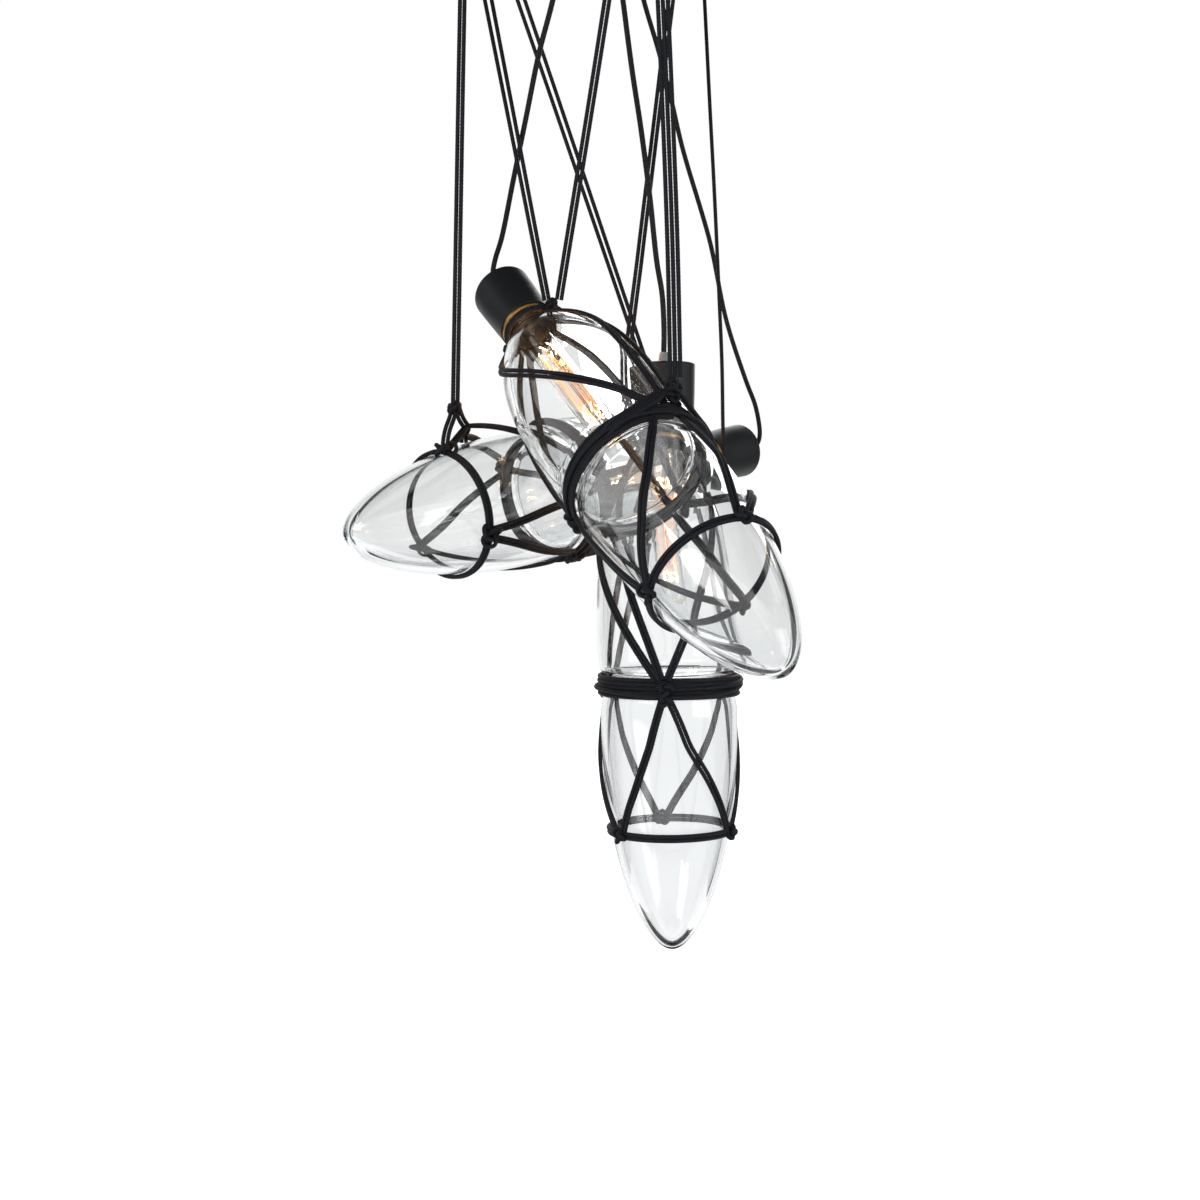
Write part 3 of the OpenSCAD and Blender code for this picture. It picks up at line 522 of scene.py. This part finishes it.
def lower_outline(inset, tip_inset):
    """The lower glass's outline from top to tip, moved inwards by inset and at the tip by tip_inset."""
    rw, rs, top = lower_r - inset, 15 - inset, lower_top + inset
    end, nose, wide_at = tip_level - tip_inset, 27 - inset * 1.6, lower_top + 31
    return np.vstack([
        [[0, top]],
        corner([rw - 1.5 - rs, top + rs], rs, -90, -8, 16),
        bend([rw, wide_at - 12], [rw, wide_at - 8], [rw, wide_at - 4], [rw, wide_at], 3),
        bend([rw, wide_at], [rw, wide_at + 151], [nose, end], [0, end], 90)])


for lamp in lamp_places:
    shells = [lower_outline(0, 0), lower_outline(lower_wall, tip_wall)[::-1]]
    glass = lathe(lamp + "_lower_bullet", lamp, shells, thick_glass)
    glass.visible_shadow = False
    settle(glass, lamp, lamp + "_lower_glass")

# Rope nets
# The same cord, doubled, tied round both glasses: two turns at the neck, struts over the upper glass, five
# turns and a crossing one and a half at the waist, struts over the lower glass and a ring that holds the taper.
upper_skin = upper_outline(0)
lower_skin = lower_outline(0, 0)
upper_skin = upper_skin[(upper_skin[:, 0] > upper_r - 13) | (upper_skin[:, 1] < upper_bottom - 45)]
lower_skin = lower_skin[lower_skin[:, 0] > 0]
rope_r = rope_d * 500
waist_level = 319.5
ring_level = 465
turn_pitch = 4.1
waist_pitch = 4.2
off_glass = 0.4
band_r = 69.5
band_half = turn_pitch * 2.5 + rope_r
neck_wrap_r = neck_r + off_glass + rope_r
neck_wrap_level = 71 + turn_pitch / 2 + rope_r


def glass_r(s):
    """The radius of either glass at level s."""
    lower, upper = (np.interp(s, skin[:, 1], skin[:, 0]) for skin in (lower_skin, upper_skin))
    return np.where(np.asarray(s) >= lower_top, lower, upper)


def glass_normal(a, s):
    """The outward direction of the glass at angle a, in radians, and level s."""
    m = (glass_r(s + 1.5) - glass_r(s - 1.5)) / 3
    n = np.stack([np.cos(a), np.sin(a), m * np.ones_like(a)], -1)
    return n / np.linalg.norm(n, axis=-1, keepdims=True)


def on_glass(a, s, off):
    """Points at angles a (degrees) and levels s, held off the glass. Past a rounded corner they go straight on."""
    off = np.reshape(off, (-1, 1)) if np.ndim(off) else off
    a = np.radians(np.asarray(a, float))
    s = np.asarray(s, float)
    held = np.where(s < waist_level, np.minimum(s, upper_bottom - 13), np.maximum(s, lower_top + 15))
    n = glass_normal(a, held)
    r = glass_r(held)
    return np.stack([r * np.cos(a), r * np.sin(a), -s], -1) + off * n, n


def strut(marks, rng):
    """Both ropes of a doubled strut through marks of (angle, level, lift off the glass), side by side."""
    t = np.linspace(0, 1, 60)
    marks = np.array([(*m, 0)[:3] for m in marks], float)
    at = (marks[:, 1] - marks[0, 1]) / (marks[-1, 1] - marks[0, 1])
    a, s, lift = (np.interp(t, at, marks[:, k]) for k in range(3))
    if len(marks) > 2:
        a[2:-2] = np.convolve(a, np.ones(5) / 5, "valid")
    centre, normal = on_glass(a, s, off_glass + rope_r + lift)
    side = np.cross(tangents(centre), normal)
    side /= np.linalg.norm(side, axis=1)[:, None]
    sway = 0.5 * np.sin(2 * math.pi * (t * rng.uniform(1, 2) + rng.uniform()))[:, None]
    apart = (rope_r - 0.15 + 0.4 * np.sin(math.pi * t) * rng.uniform(0, 1))[:, None]
    return [centre + (sway + k * apart) * side for k in (-1, 1)]


def knot(centre, outward, size, flat=0.5, turn=0.0):
    """One rope tied in a knot, as a closed row of points round centre."""
    outward = np.asarray(outward, float) / np.linalg.norm(outward)
    first = np.cross(outward, (0, 0, 1) if abs(outward[2]) < 0.9 else (0, 1, 0))
    first /= np.linalg.norm(first)
    second = np.cross(outward, first)
    t = np.linspace(0, 2 * math.pi, 72, endpoint=False)
    x, y, z = np.sin(t) + 2 * np.sin(2 * t), np.cos(t) - 2 * np.cos(2 * t), -np.sin(3 * t)
    x, y = x * math.cos(turn) - y * math.sin(turn), x * math.sin(turn) + y * math.cos(turn)
    return (np.asarray(centre) + size / 3 * (x[:, None] * first + y[:, None] * second)
            + size * flat * z[:, None] * outward)


def coil(radius, level, turns, pitch, rng, slack=0.25):
    """Turns of rope side by side as one helix, each a little loose in its own way."""
    a = np.linspace(0, 360 * turns, 90 * turns + 1)
    r = radius + slack * np.sin(np.radians(a) * 0.53 + rng.uniform(0, 6)) * rng.uniform(0.3, 1)
    z = level + pitch * (a / 360 - turns / 2)
    return np.c_[r * np.cos(np.radians(a)), r * np.sin(np.radians(a)), -z]


def over_turns(rng):
    """The last turn and a half of the waist rope, which cross the others on their way to the knot."""
    a = np.linspace(0, 540, 150)
    r = band_r + 3.2 + 0.4 * np.sin(np.radians(a) * 1.7)
    r[:12] -= np.linspace(2.5, 0, 12)
    r[-12:] -= np.linspace(0, 2.5, 12)
    z = waist_level + 7 * np.sin(np.radians(a) * 0.83 + rng.uniform(0, 6)) + 1.5 * np.sin(np.radians(a) * 2.3)
    a = np.radians(a + rng.uniform(0, 360))
    return np.c_[r * np.cos(a), r * np.sin(a), -z]


upper_runs = {
    "upright": [[20, 80], [50, 92], [80, 199], [138, 203], [287, 208], [310, 326], [350, 338]],
    "slant": [[14, 0], [36, 13], [80, 112], [120, 124], [170, 213], [195, 222], [225, 347]],
    "level": [[70, 80], [105, 92], [135, 154], [215, 166], [240, 292], [340, 304]]}
lower_runs = {
    "upright": [[88, (76.5, 375), (60, 420), 42], [92, (107, 375), (128, 420), 152],
                [204, (193, 375), (178, 420), 161], [208, (224, 375), (247, 420), 272],
                [328, (316.5, 375), (300, 420), 282], [332, (347, 375), (368, 420), 392]],
    "slant": [[-16, (-45, 388), (-70, 425), -105], [10, (18, 380), -4], [112, 4], [124, 121], [216, 129], [226, 248]],
    "level": [[78, (2, 422, 14), 12], [90, 107], [154, 113], [166, 232], [292, 238], [304, (354, 422, 5), 370]]}
neck_knots = {"upright": [20, 121, 240], "slant": [26, 150, 215], "level": [105, 345, 220]}
waist_knots = {"upright": [206, 330, 90], "slant": [118, 222], "level": [86, 160, 298]}
ring_knots = {"upright": [(37, 7.4), (157, 7.4), (277, 7.4)], "slant": [(-2, 7.4), (125, 7.4), (252, 9)],
              "level": [(12, 11.5), (110, 11.5), (235, 11.5)]}


def tie(name, lamp, node, lines, loops=()):
    """Open lines and closed loops of rope as one piece of the net."""
    parts = [braided(name, [put(lamp, line) for line in lines], rope_finish)]
    if len(loops):
        parts.append(braided(name + "_knots", [put(lamp, loop) for loop in loops], rope_finish, closed=True,
                             spacing=0.0012))
    for piece in parts:
        settle(piece, lamp, node)


def out(a):
    """The direction at angle a, in degrees, across a lamp's axis."""
    return np.array([math.cos(math.radians(a)), math.sin(math.radians(a)), 0])


def loose_end(start, way, rng):
    """A short cut end of rope that stands off a knot."""
    t = np.linspace(0, 1, 8)[:, None]
    return np.asarray(start) + t * np.asarray(way) * 9 + t * t * np.array([*rng.uniform(-2, 2, 2), -4])


for seed, lamp in enumerate(lamp_places):
    rng = np.random.default_rng(11 + seed)
    neck_low = neck_wrap_level + turn_pitch / 2
    tie(lamp + "_neck_turns", lamp, lamp + "_neck_wrap",
        [coil(neck_wrap_r, neck_wrap_level, 2, turn_pitch, rng, 0.1)]
        + [loose_end(out(a) * (neck_wrap_r + 6) + [0, 0, -neck_wrap_level], out(a + 60), rng)
           for a in neck_knots[lamp][:2]],
        [knot(out(a) * (neck_wrap_r + 4.2) + [0, 0, -neck_wrap_level - 0.5], out(a), 4.8, 0.5, rng.uniform(0, 2))
         for a in neck_knots[lamp]])
    tie(lamp + "_waist_turns", lamp, lamp + "_waist_wrap",
        [coil(band_r, waist_level, 5, waist_pitch, rng, 0.4), over_turns(rng)],
        [knot(out(a) * (band_r + 4.5) + [0, 0, -waist_level - down], out(a), size, 0.42, rng.uniform(0, 2))
         for a in waist_knots[lamp] for down, size in ((0, 6.5), (11, 5.5))])
    tie(lamp + "_upper_struts", lamp, lamp + "_upper_net",
        [line for a0, a1 in upper_runs[lamp]
         for line in strut([(a0, neck_low + 1), (a1, waist_level - band_half + 3)], rng)])
    ring = [on_glass(np.linspace(0, 360, 121)[:-1], np.full(120, ring_level + k * 2.05), off_glass + rope_r)[0]
            for k in (-1, 1)]
    tie(lamp + "_lower_struts", lamp, lamp + "_lower_net",
        [line for a0, *between, a1 in lower_runs[lamp]
         for line in strut([(a0, waist_level + band_half - 3), *between, (a1, ring_level - 2)], rng)],
        ring + [knot(p[0] + 5.4 * n[0], n[0], size, 0.34, rng.uniform(0, 2))
                for a, size in ring_knots[lamp] for p, n in [on_glass([a], [ring_level], 0)]])

# Gathered knots
# The bundle that carries the slanting lamp ends in a large knot on the waist, from which ropes fan out
# round the band. The level lamp's left rope ends in a knot with two legs. Stopper knots sit in the canopy.
apex = out(6) * (band_r + 14.4) + [0, 0, -(waist_level - band_half - 3.5)]
fans = []
for side in (-1, 1):
    for row in (-1, 0, 1):
        marks = [apex + [0, side * 2.6, row * 4.3]]
        for turn_by, off_band, down in ((12, 8.5, 2), (22, 5, 7), (34, 4.4, 12), (48, 4.2, 15), (60, 0.8, 16)):
            marks.append([*(out(6 + side * turn_by)[:2] * (band_r + off_band)),
                          -(waist_level - band_half + down + row * 4.3)])
        fans.append(smooth_route(marks) * 1000)
tie("slant_fan", "slant", "slant_ropes", fans,
    [knot(apex, out(6), 7.4, 0.5), knot(apex, (0.3, 1, 0.4), 7.0, 0.5, 1.0),
     knot(apex - out(6) * 7, out(6), 8.5, 0.4, 2.0)])


def stopper(name, body, node, centres, size=6.4):
    """A round knot of two crossed loops at each of the centres, in millimetres."""
    loops = [knot(np.array(c), way, size, 0.5, turn) / 1000
             for c in centres for way, turn in (((0.2, 1, 0.1), 0.3), ((0.1, 0.3, 1), 1.2))]
    settle(braided(name, loops, rope_finish, closed=True, spacing=0.0012), body, node)


stopper("level_saddle_knot", "level", "level_ropes", [(-141.5, -70, -573)])
stopper("upright_rope_ends", "upright", "upright_ropes", [(31.5, -33, -597), (71, -1.5, -595)], 5.5)
stopper("slant_rope_ends", "slant", "slant_ropes", [(-48, -30.5, -464)], 5.5)
stopper("level_rope_end", "level", "level_ropes", [(140, 187, -601)], 5.5)
saddle_point = put("level", on_glass([356], [423], 9)[0])[0] * 1000
near_leg = smooth_route([[-142.5, -71.5, -573], [-144.5, -75, -583], [-147.5, -80, -593], [-149.5, -84, -604],
                         [-150, -85.5, -614]])
far_leg = smooth_route([[-139.5, -67, -573], [-136.5, -61, -582], [-132, -51.5, -590], saddle_point + [1, 3, 1],
                        saddle_point + [0.5, 8, -7]])
legs = braided("level_legs", [beside(leg, k * snug) for leg in (near_leg, far_leg) for k in pair], rope_finish)
settle(legs, "level", "level_ropes")
seat = -32.5
stopper("upright_stoppers", "upright", "upright_ropes", [(-119, -27, seat), (86, -27, seat)])
stopper("slant_stoppers", "slant", "slant_ropes", [(-135, -5, seat), (33, -172, seat), (48.5, -187, seat)])
stopper("level_stoppers", "level", "level_ropes", [(-135, -42.5, seat), (118.5, 198.5, seat)])

# Caps
# Spun steel cups with a satin black powder coat, slightly conical, with a rolled edge at both ends.
# Each hides the lampholder and the glass's neck.
cap_finish = grained("black_metal", {"scale": 1500.0, "detail": 2.0, "strength": 0.12, "depth": 0.0001},
                     {"Base Color": ((0.007, 0.0085, 0.0095), (0.013, 0.015, 0.017))},
                     roughness=0.45, specular_ior_level=0.2)
for lamp in lamp_places:
    outside = np.vstack([[[5, 0]], [[20, 0]], corner([29.5, 1.5], 1.5, -90, 0, 8), [[30.2, 30]],
                         [[28.6, 64.6]], corner([27.9, 65.2], 0.8, -10, 90, 6),
                         corner([27.3, 65.2], 0.8, 90, 180, 6)])
    inside = np.array([[29, 4.2], [28, 3], [5, 3], [5, 0]])
    settle(lathe(lamp + "_shade_cap", lamp, [np.vstack([outside, inside])], cap_finish, sharp=30),
           lamp, lamp + "_cap")

# Neck rings
# Turned brass rings that screw up into the cap and carry the lip of the glass. A narrow band of each shows
# between the black cap and the rope.
brass_finish = grained("brass", {"scale": 120.0, "detail": 4.0, "strength": 0.05},
                       {"Base Color": ((0.32, 0.16, 0.035), (0.58, 0.34, 0.11)), "Roughness": (0.2, 0.42)},
                       metallic=1.0)
for lamp in lamp_places:
    ring = [[24.5, 50.4], [25.8, 50], [26.2, 50.5], [26.2, 66], [26.4, 66.3], [27.4, 66.3], [27.8, 66.8],
            [27.8, 69.8], [27.4, 70.3], [24.9, 70.3], [24.5, 69.9], [24.5, 50.4]]
    settle(lathe(lamp + "_brass_ring", lamp, [np.array(ring)], brass_finish, sharp=30),
           lamp, lamp + "_neck_ring")

# Cable boots and lampholders
# A grey rubber boot with grooves takes the cable into each cap, on a threaded stem with a nut below it.
# The lampholder is black moulded phenolic, and its contacts are brass.
boot_finish = grained("grey_rubber", {"scale": 700.0, "detail": 3.0, "strength": 0.2, "depth": 0.0001},
                      {"Base Color": ((0.16, 0.165, 0.17), (0.27, 0.275, 0.28))},
                      roughness=0.62, specular_ior_level=0.3)
phenolic_finish = grained("black_plastic", {"scale": 260.0, "detail": 4.0, "strength": 0.06},
                          {"Base Color": ((0.012, 0.011, 0.011), (0.03, 0.028, 0.027))}, roughness=0.33)
bore = cable_d * 500 + 0.15
for lamp in lamp_places:
    grooves = [[4.1 + 0.28 * k + 0.35 * half, -(11.4 - 1.7 * k - 0.85 * half)] for k in range(6) for half in (0, 1)]
    boot = [[bore, -12], [bore + 1.1, -12], *grooves, [6.6, -2.2], [6.9, -1.9], [6.9, 0], [4.9, 0], [4.9, 14.7],
            [bore, 14.7], [bore, -12]]
    nut = [[4.95, 3], [7.9, 3], [7.9, 4.7], [4.95, 4.7], [4.95, 3]]
    settle(lathe(lamp + "_boot", lamp, [np.array(boot), np.array(nut)], boot_finish, 64, 25),
           lamp, lamp + "_cable_boot")
    rings = [[19 - (0.5 if 1 <= k % 4 <= 2 else 0), 18 + 1.2 * k] for k in range(20)]
    holder = [[4.95, 5], [17, 5], [18.4, 5.5], [19, 7], *rings, [19, 47.4], [18.4, 48], [15.4, 48], [14.15, 46.8],
              [14.15, 15], [4.95, 15], [4.95, 5]]
    settle(lathe(lamp + "_holder", lamp, [np.array(holder)], phenolic_finish, 64, 30),
           lamp, lamp + "_lampholder")
    shell = [[13.2, 24], [14.1, 24], [14.1, 46], [13.2, 46], [13.2, 24]]
    centre = [[0, 16.8], [4, 16.8], [4, 18], [0, 18]]
    settle(lathe(lamp + "_contacts", lamp, [np.array(shell), np.array(centre)], brass_finish, 64, 30),
           lamp, lamp + "_socket_contacts")

# Filament bulbs
# Long tubular bulbs: thin clear glass, a rolled metal screw base, and a glass stem with a rod that carries
# two stars of hooks. One glowing wire runs up and down between the stars, and is brightest at their hooks.
bulb_glass = glass_finish("bulb_glass", (0.99, 0.985, 0.975), 30.0, 0.0003, 8.0)
base_finish = grained("bulb_metal", {"scale": 300.0, "detail": 2.0, "strength": 0.0},
                      {"Base Color": ((0.5, 0.42, 0.3), (0.72, 0.66, 0.55)), "Roughness": (0.22, 0.4)}, metallic=1.0)
glow_finish = grained("filament", {"scale": 60.0, "detail": 1.0, "strength": 0.0},
                      {"Emission Color": ((1.0, 0.42, 0.12), (1.0, 0.7, 0.36))},
                      base_color=(0.9, 0.45, 0.12, 1), roughness=0.5, emission_color=(1.0, 0.55, 0.2, 1),
                      emission_strength=0.45)
bright_finish = grained("filament_ends", {"scale": 300.0, "detail": 1.0, "strength": 0.0},
                        {"Emission Color": ((1.0, 0.66, 0.3), (1.0, 0.86, 0.6))},
                        base_color=(0.95, 0.6, 0.25, 1), roughness=0.5, emission_color=(1.0, 0.7, 0.34, 1),
                        emission_strength=14.0)
top_star = 118
low_star = 221
base_bottom = 44
bulb_end = 258
bulb_r = 15
thread = 3.63
bulb_wall = 0.9
base_r = 13.15
runs = 12
run_angle = 30


def bulb_tube(inset):
    """The bulb glass's outline from collar to end, moved inwards by inset."""
    collar = 11.5 - inset
    neck = base_bottom + 1
    r = bulb_r - inset
    return np.vstack([[[collar, base_bottom - 6]], [[collar, neck]],
                      bend([collar, neck], [collar, neck + 5], [r, neck + 5], [r, neck + 13], 14),
                      corner([0, bulb_end - bulb_r], r, 0, 90, 18)])


for lamp in lamp_places:
    body = lamp + "_bulb"
    tube_shell = np.vstack([bulb_tube(0), bulb_tube(bulb_wall)[::-1], bulb_tube(0)[:1]])
    tube = lathe(lamp + "_tube", lamp, [tube_shell], bulb_glass, 64)
    tube.visible_shadow = False
    settle(tube, body, lamp + "_bulb_glass")
    screw = [[base_r - 0.45 - 0.45 * math.cos(2 * math.pi * w), 24.9 + thread * w] for w in np.linspace(0, 5, 61)]
    base = [[0, 18.1], [3.4, 18.1], [4.6, 18.8], [4.9, 19.6], [10.8, 23.6], [12.1, 24], *screw,
            [12.5, base_bottom], [11.6, base_bottom], [11.6, 25], [0, 25]]
    settle(lathe(lamp + "_screw_base", lamp, [np.array(base)], base_finish, 72, 35),
           body, lamp + "_bulb_base")
    stem = [[0, 44], [10.2, 44], [7.5, 48], [5.6, 53], [4.4, 60], [3.6, 70], [2.6, 76], [1.5, 80], [1.3, 84],
            [1.3, 236.6], [0.8, 238.2], [0, 239]]
    stalk = lathe(lamp + "_stem", lamp, [np.array(stem)], bulb_glass, 32)
    stalk.visible_shadow = False
    settle(stalk, body, lamp + "_bulb_mount")
    hooks, wire, stars = [], [], []
    for k in range(runs):
        level, inward = ((top_star, 1.2), (low_star, -1.2))[k % 2]
        turn = run_angle * k
        way, place = out(turn), np.array([0, 0, -level])
        hooks.append(np.array([way * 0.6 + place, way * 4 + place + [0, 0, inward], way * 9.2 + place]))
        for bow in (-5, 0, 5):
            wire.append(out(turn + bow) * 9 + place + [0, 0, inward if bow == 0 else 0])
        stars.append(np.array([out(turn - 16) * 8 + place + [0, 0, 5 * inward], way * 9.3 + place,
                               out(turn + 16) * 7 + place - [0, 0, 4 * inward]]))
    for name, lines, finish, radius, sides, spacing, node, slot in (
            ("_hooks", hooks, base_finish, 0.00035, 6, 0.002, "_bulb_mount", "bulb_metal"),
            ("_glowing_wire", [np.array(wire)], glow_finish, 0.0003, 8, 0.003, "_filament", "filament"),
            ("_bright_ends", stars, bright_finish, 0.0006, 8, 0.002, "_filament", "filament")):
        settle(braided(lamp + name, [put(lamp, line) for line in lines], finish, radius, sides=sides, relief=0.0,
                       spacing=spacing), body, lamp + node)

# Ceiling canopy and its fittings
# A spun steel pan hangs on a steel bracket by screws through its side. Inside are the terminal block, the
# collars that grip the leads and an earth screw. Rubber bushes line the cable holes.
steel_finish = grained("zinc_steel", {"scale": 90.0, "detail": 5.0, "strength": 0.0},
                       {"Base Color": ((0.42, 0.43, 0.44), (0.66, 0.67, 0.68)), "Roughness": (0.3, 0.5)}, metallic=1.0)
white_finish = grained("white_plastic", {"scale": 500.0, "strength": 0.08},
                       base_color=(0.72, 0.72, 0.7, 1), roughness=0.35)
bush_finish = grained("black_rubber", {"scale": 800.0, "strength": 0.2},
                      base_color=(0.02, 0.02, 0.02, 1), roughness=0.6)


def dressed(node, name, finish, slot, sharp=30):
    """A merged, smooth copy of a CAD node with its finish."""
    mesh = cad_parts[node].data.copy()
    merged = bmesh.new()
    merged.from_mesh(mesh)
    bmesh.ops.remove_doubles(merged, verts=merged.verts, dist=1e-6)
    merged.to_mesh(mesh)
    merged.free()
    for polygon in mesh.polygons:
        polygon.use_smooth = True
    if mesh.has_custom_normals:
        mesh.normals_split_custom_set([(0, 0, 0)] * len(mesh.loops))
    mesh.set_sharp_from_angle(angle=math.radians(sharp))
    mesh.materials.clear()
    mesh.materials.append(finish)
    settle(linked(name, mesh), "ceiling_canopy", node)


dressed("canopy", "canopy_pan", cap_finish, "black_metal")
dressed("ceiling_bracket", "steel_bracket", steel_finish, "zinc_steel")
dressed("canopy_screws", "side_screws", cap_finish, "black_metal")
dressed("terminal_block", "terminals", white_finish, "white_plastic")
dressed("cable_grips", "lead_grips", white_finish, "white_plastic")
dressed("cable_grommets", "cable_bushes", bush_finish, "black_rubber")
dressed("earth_screw", "earth_terminal", brass_finish, "brass")

# Studio
# A pale floor well below the lamps, white surroundings and three large soft lights. Two dark strips behind,
# a dark ceiling and a dark base draw the outlines of the glass, and only glass and metal see them.
floor_material, floor_tree, floor_shader = finish_of("pale_floor", base_color=(0.85, 0.85, 0.85, 1), roughness=0.9)


def rays_of(tree):
    """Whether a ray is the camera's own, and whether it comes off or through glass or metal."""
    ray = tree.nodes.new("ShaderNodeLightPath").outputs
    return ray["Is Camera Ray"], maths(tree, "MAXIMUM", ray["Is Glossy Ray"], ray["Is Transmission Ray"])


direct, by_glass = rays_of(floor_tree)
lift = floor_tree.nodes.new("ShaderNodeEmission")
floor_tree.links.new(maths(floor_tree, "MAXIMUM", direct, maths(floor_tree, "MULTIPLY", by_glass, 0.5)),
                     lift.inputs["Strength"])
both = floor_tree.nodes.new("ShaderNodeAddShader")
floor_tree.links.new(floor_shader.outputs[0], both.inputs[0])
floor_tree.links.new(lift.outputs[0], both.inputs[1])
floor_tree.links.new(both.outputs[0], floor_tree.nodes["Material Output"].inputs["Surface"])


def panel(name, size, centre, facing=(0, 0, 1)):
    """A flat rectangle of the studio that faces the given way."""
    w, h = size
    turn = Vector(facing).to_track_quat("Z", "Y").to_matrix()
    mesh = bpy.data.meshes.new(name)
    corners = [Vector(centre) + turn @ Vector((x * w / 2, y * h / 2, 0))
               for x, y in ((-1, -1), (1, -1), (1, 1), (-1, 1))]
    mesh.from_pydata(corners, [], [(0, 1, 2, 3)])
    piece = linked(name, mesh)
    return piece


floor = panel("floor", (60, 60), (0, 0, -1.9))
floor.data.materials.append(floor_material)
dark = finish_of("dark_strip", base_color=(0.01, 0.01, 0.01, 1))[0]
strip_r = 1.6
middle = Vector((0, 0, -0.75))
dark_places = [(f"strip_{turn}", (0.8, 2.4), middle + strip_r * Vector(out(90 - turn))) for turn in (62, 298)]
dark_places += [("dark_ceiling", (3, 3), Vector((0, 0, 0.6))), ("dark_base", (1.3, 1.3), Vector((0, 0.25, -1.85)))]
for name, size, centre in dark_places:
    strip = panel(name, size, centre, middle - centre)
    strip.data.materials.append(dark)
    strip.visible_camera = strip.visible_diffuse = strip.visible_shadow = False


def soft_light(name, centre, size, power, target=(0, 0, -0.72)):
    """A square light that the camera doesn't see, turned to the middle of the lamps."""
    data = bpy.data.lights.new(name, "AREA")
    data.shape, data.size, data.energy = "SQUARE", size, power
    light = linked(name, data)
    light.location = centre
    light.rotation_euler = (Vector(target) - Vector(centre)).to_track_quat("-Z", "Y").to_euler()
    light.visible_camera = False


soft_light("key_light", (-1.7, -1.9, 0.4), 1.2, 34)
soft_light("fill_light", (2.0, -1.4, -0.4), 1.4, 16)
soft_light("back_light", (0.6, 2.2, 0.3), 1.4, 16)
for lamp in lamp_places:
    for level in (top_star, low_star):
        spot = bpy.data.lights.new(f"{lamp}_glow_{level}", "POINT")
        spot.energy, spot.color, spot.shadow_soft_size = 0.8, (1.0, 0.45, 0.12), 0.008
        glow = linked(spot.name, spot)
        glow.location = put(lamp, [0, 0, -level])
        glow.visible_camera = glow.visible_glossy = glow.visible_transmission = False
world = bpy.data.worlds.new("studio")
scene.world = world
world.use_nodes = True
sky = world.node_tree
plain = sky.nodes["Background"]
plain.inputs["Color"].default_value = (0.96, 0.98, 1.0, 1)
plain.inputs["Strength"].default_value = 0.55
white = sky.nodes.new("ShaderNodeBackground")
white.inputs["Color"].default_value = (1, 1, 1, 1)
choose = sky.nodes.new("ShaderNodeMixShader")
sky.links.new(maths(sky, "MAXIMUM", *rays_of(sky)), choose.inputs[0])
sky.links.new(plain.outputs[0], choose.inputs[1])
sky.links.new(white.outputs[0], choose.inputs[2])
sky.links.new(choose.outputs[0], sky.nodes["World Output"].inputs["Surface"])
scene.view_settings.view_transform = "Standard"
scene.cycles.max_bounces = 40
scene.cycles.transmission_bounces = 40
scene.cycles.glossy_bounces = 40
scene.cycles.transparent_max_bounces = 16
scene.cycles.volume_bounces = 2
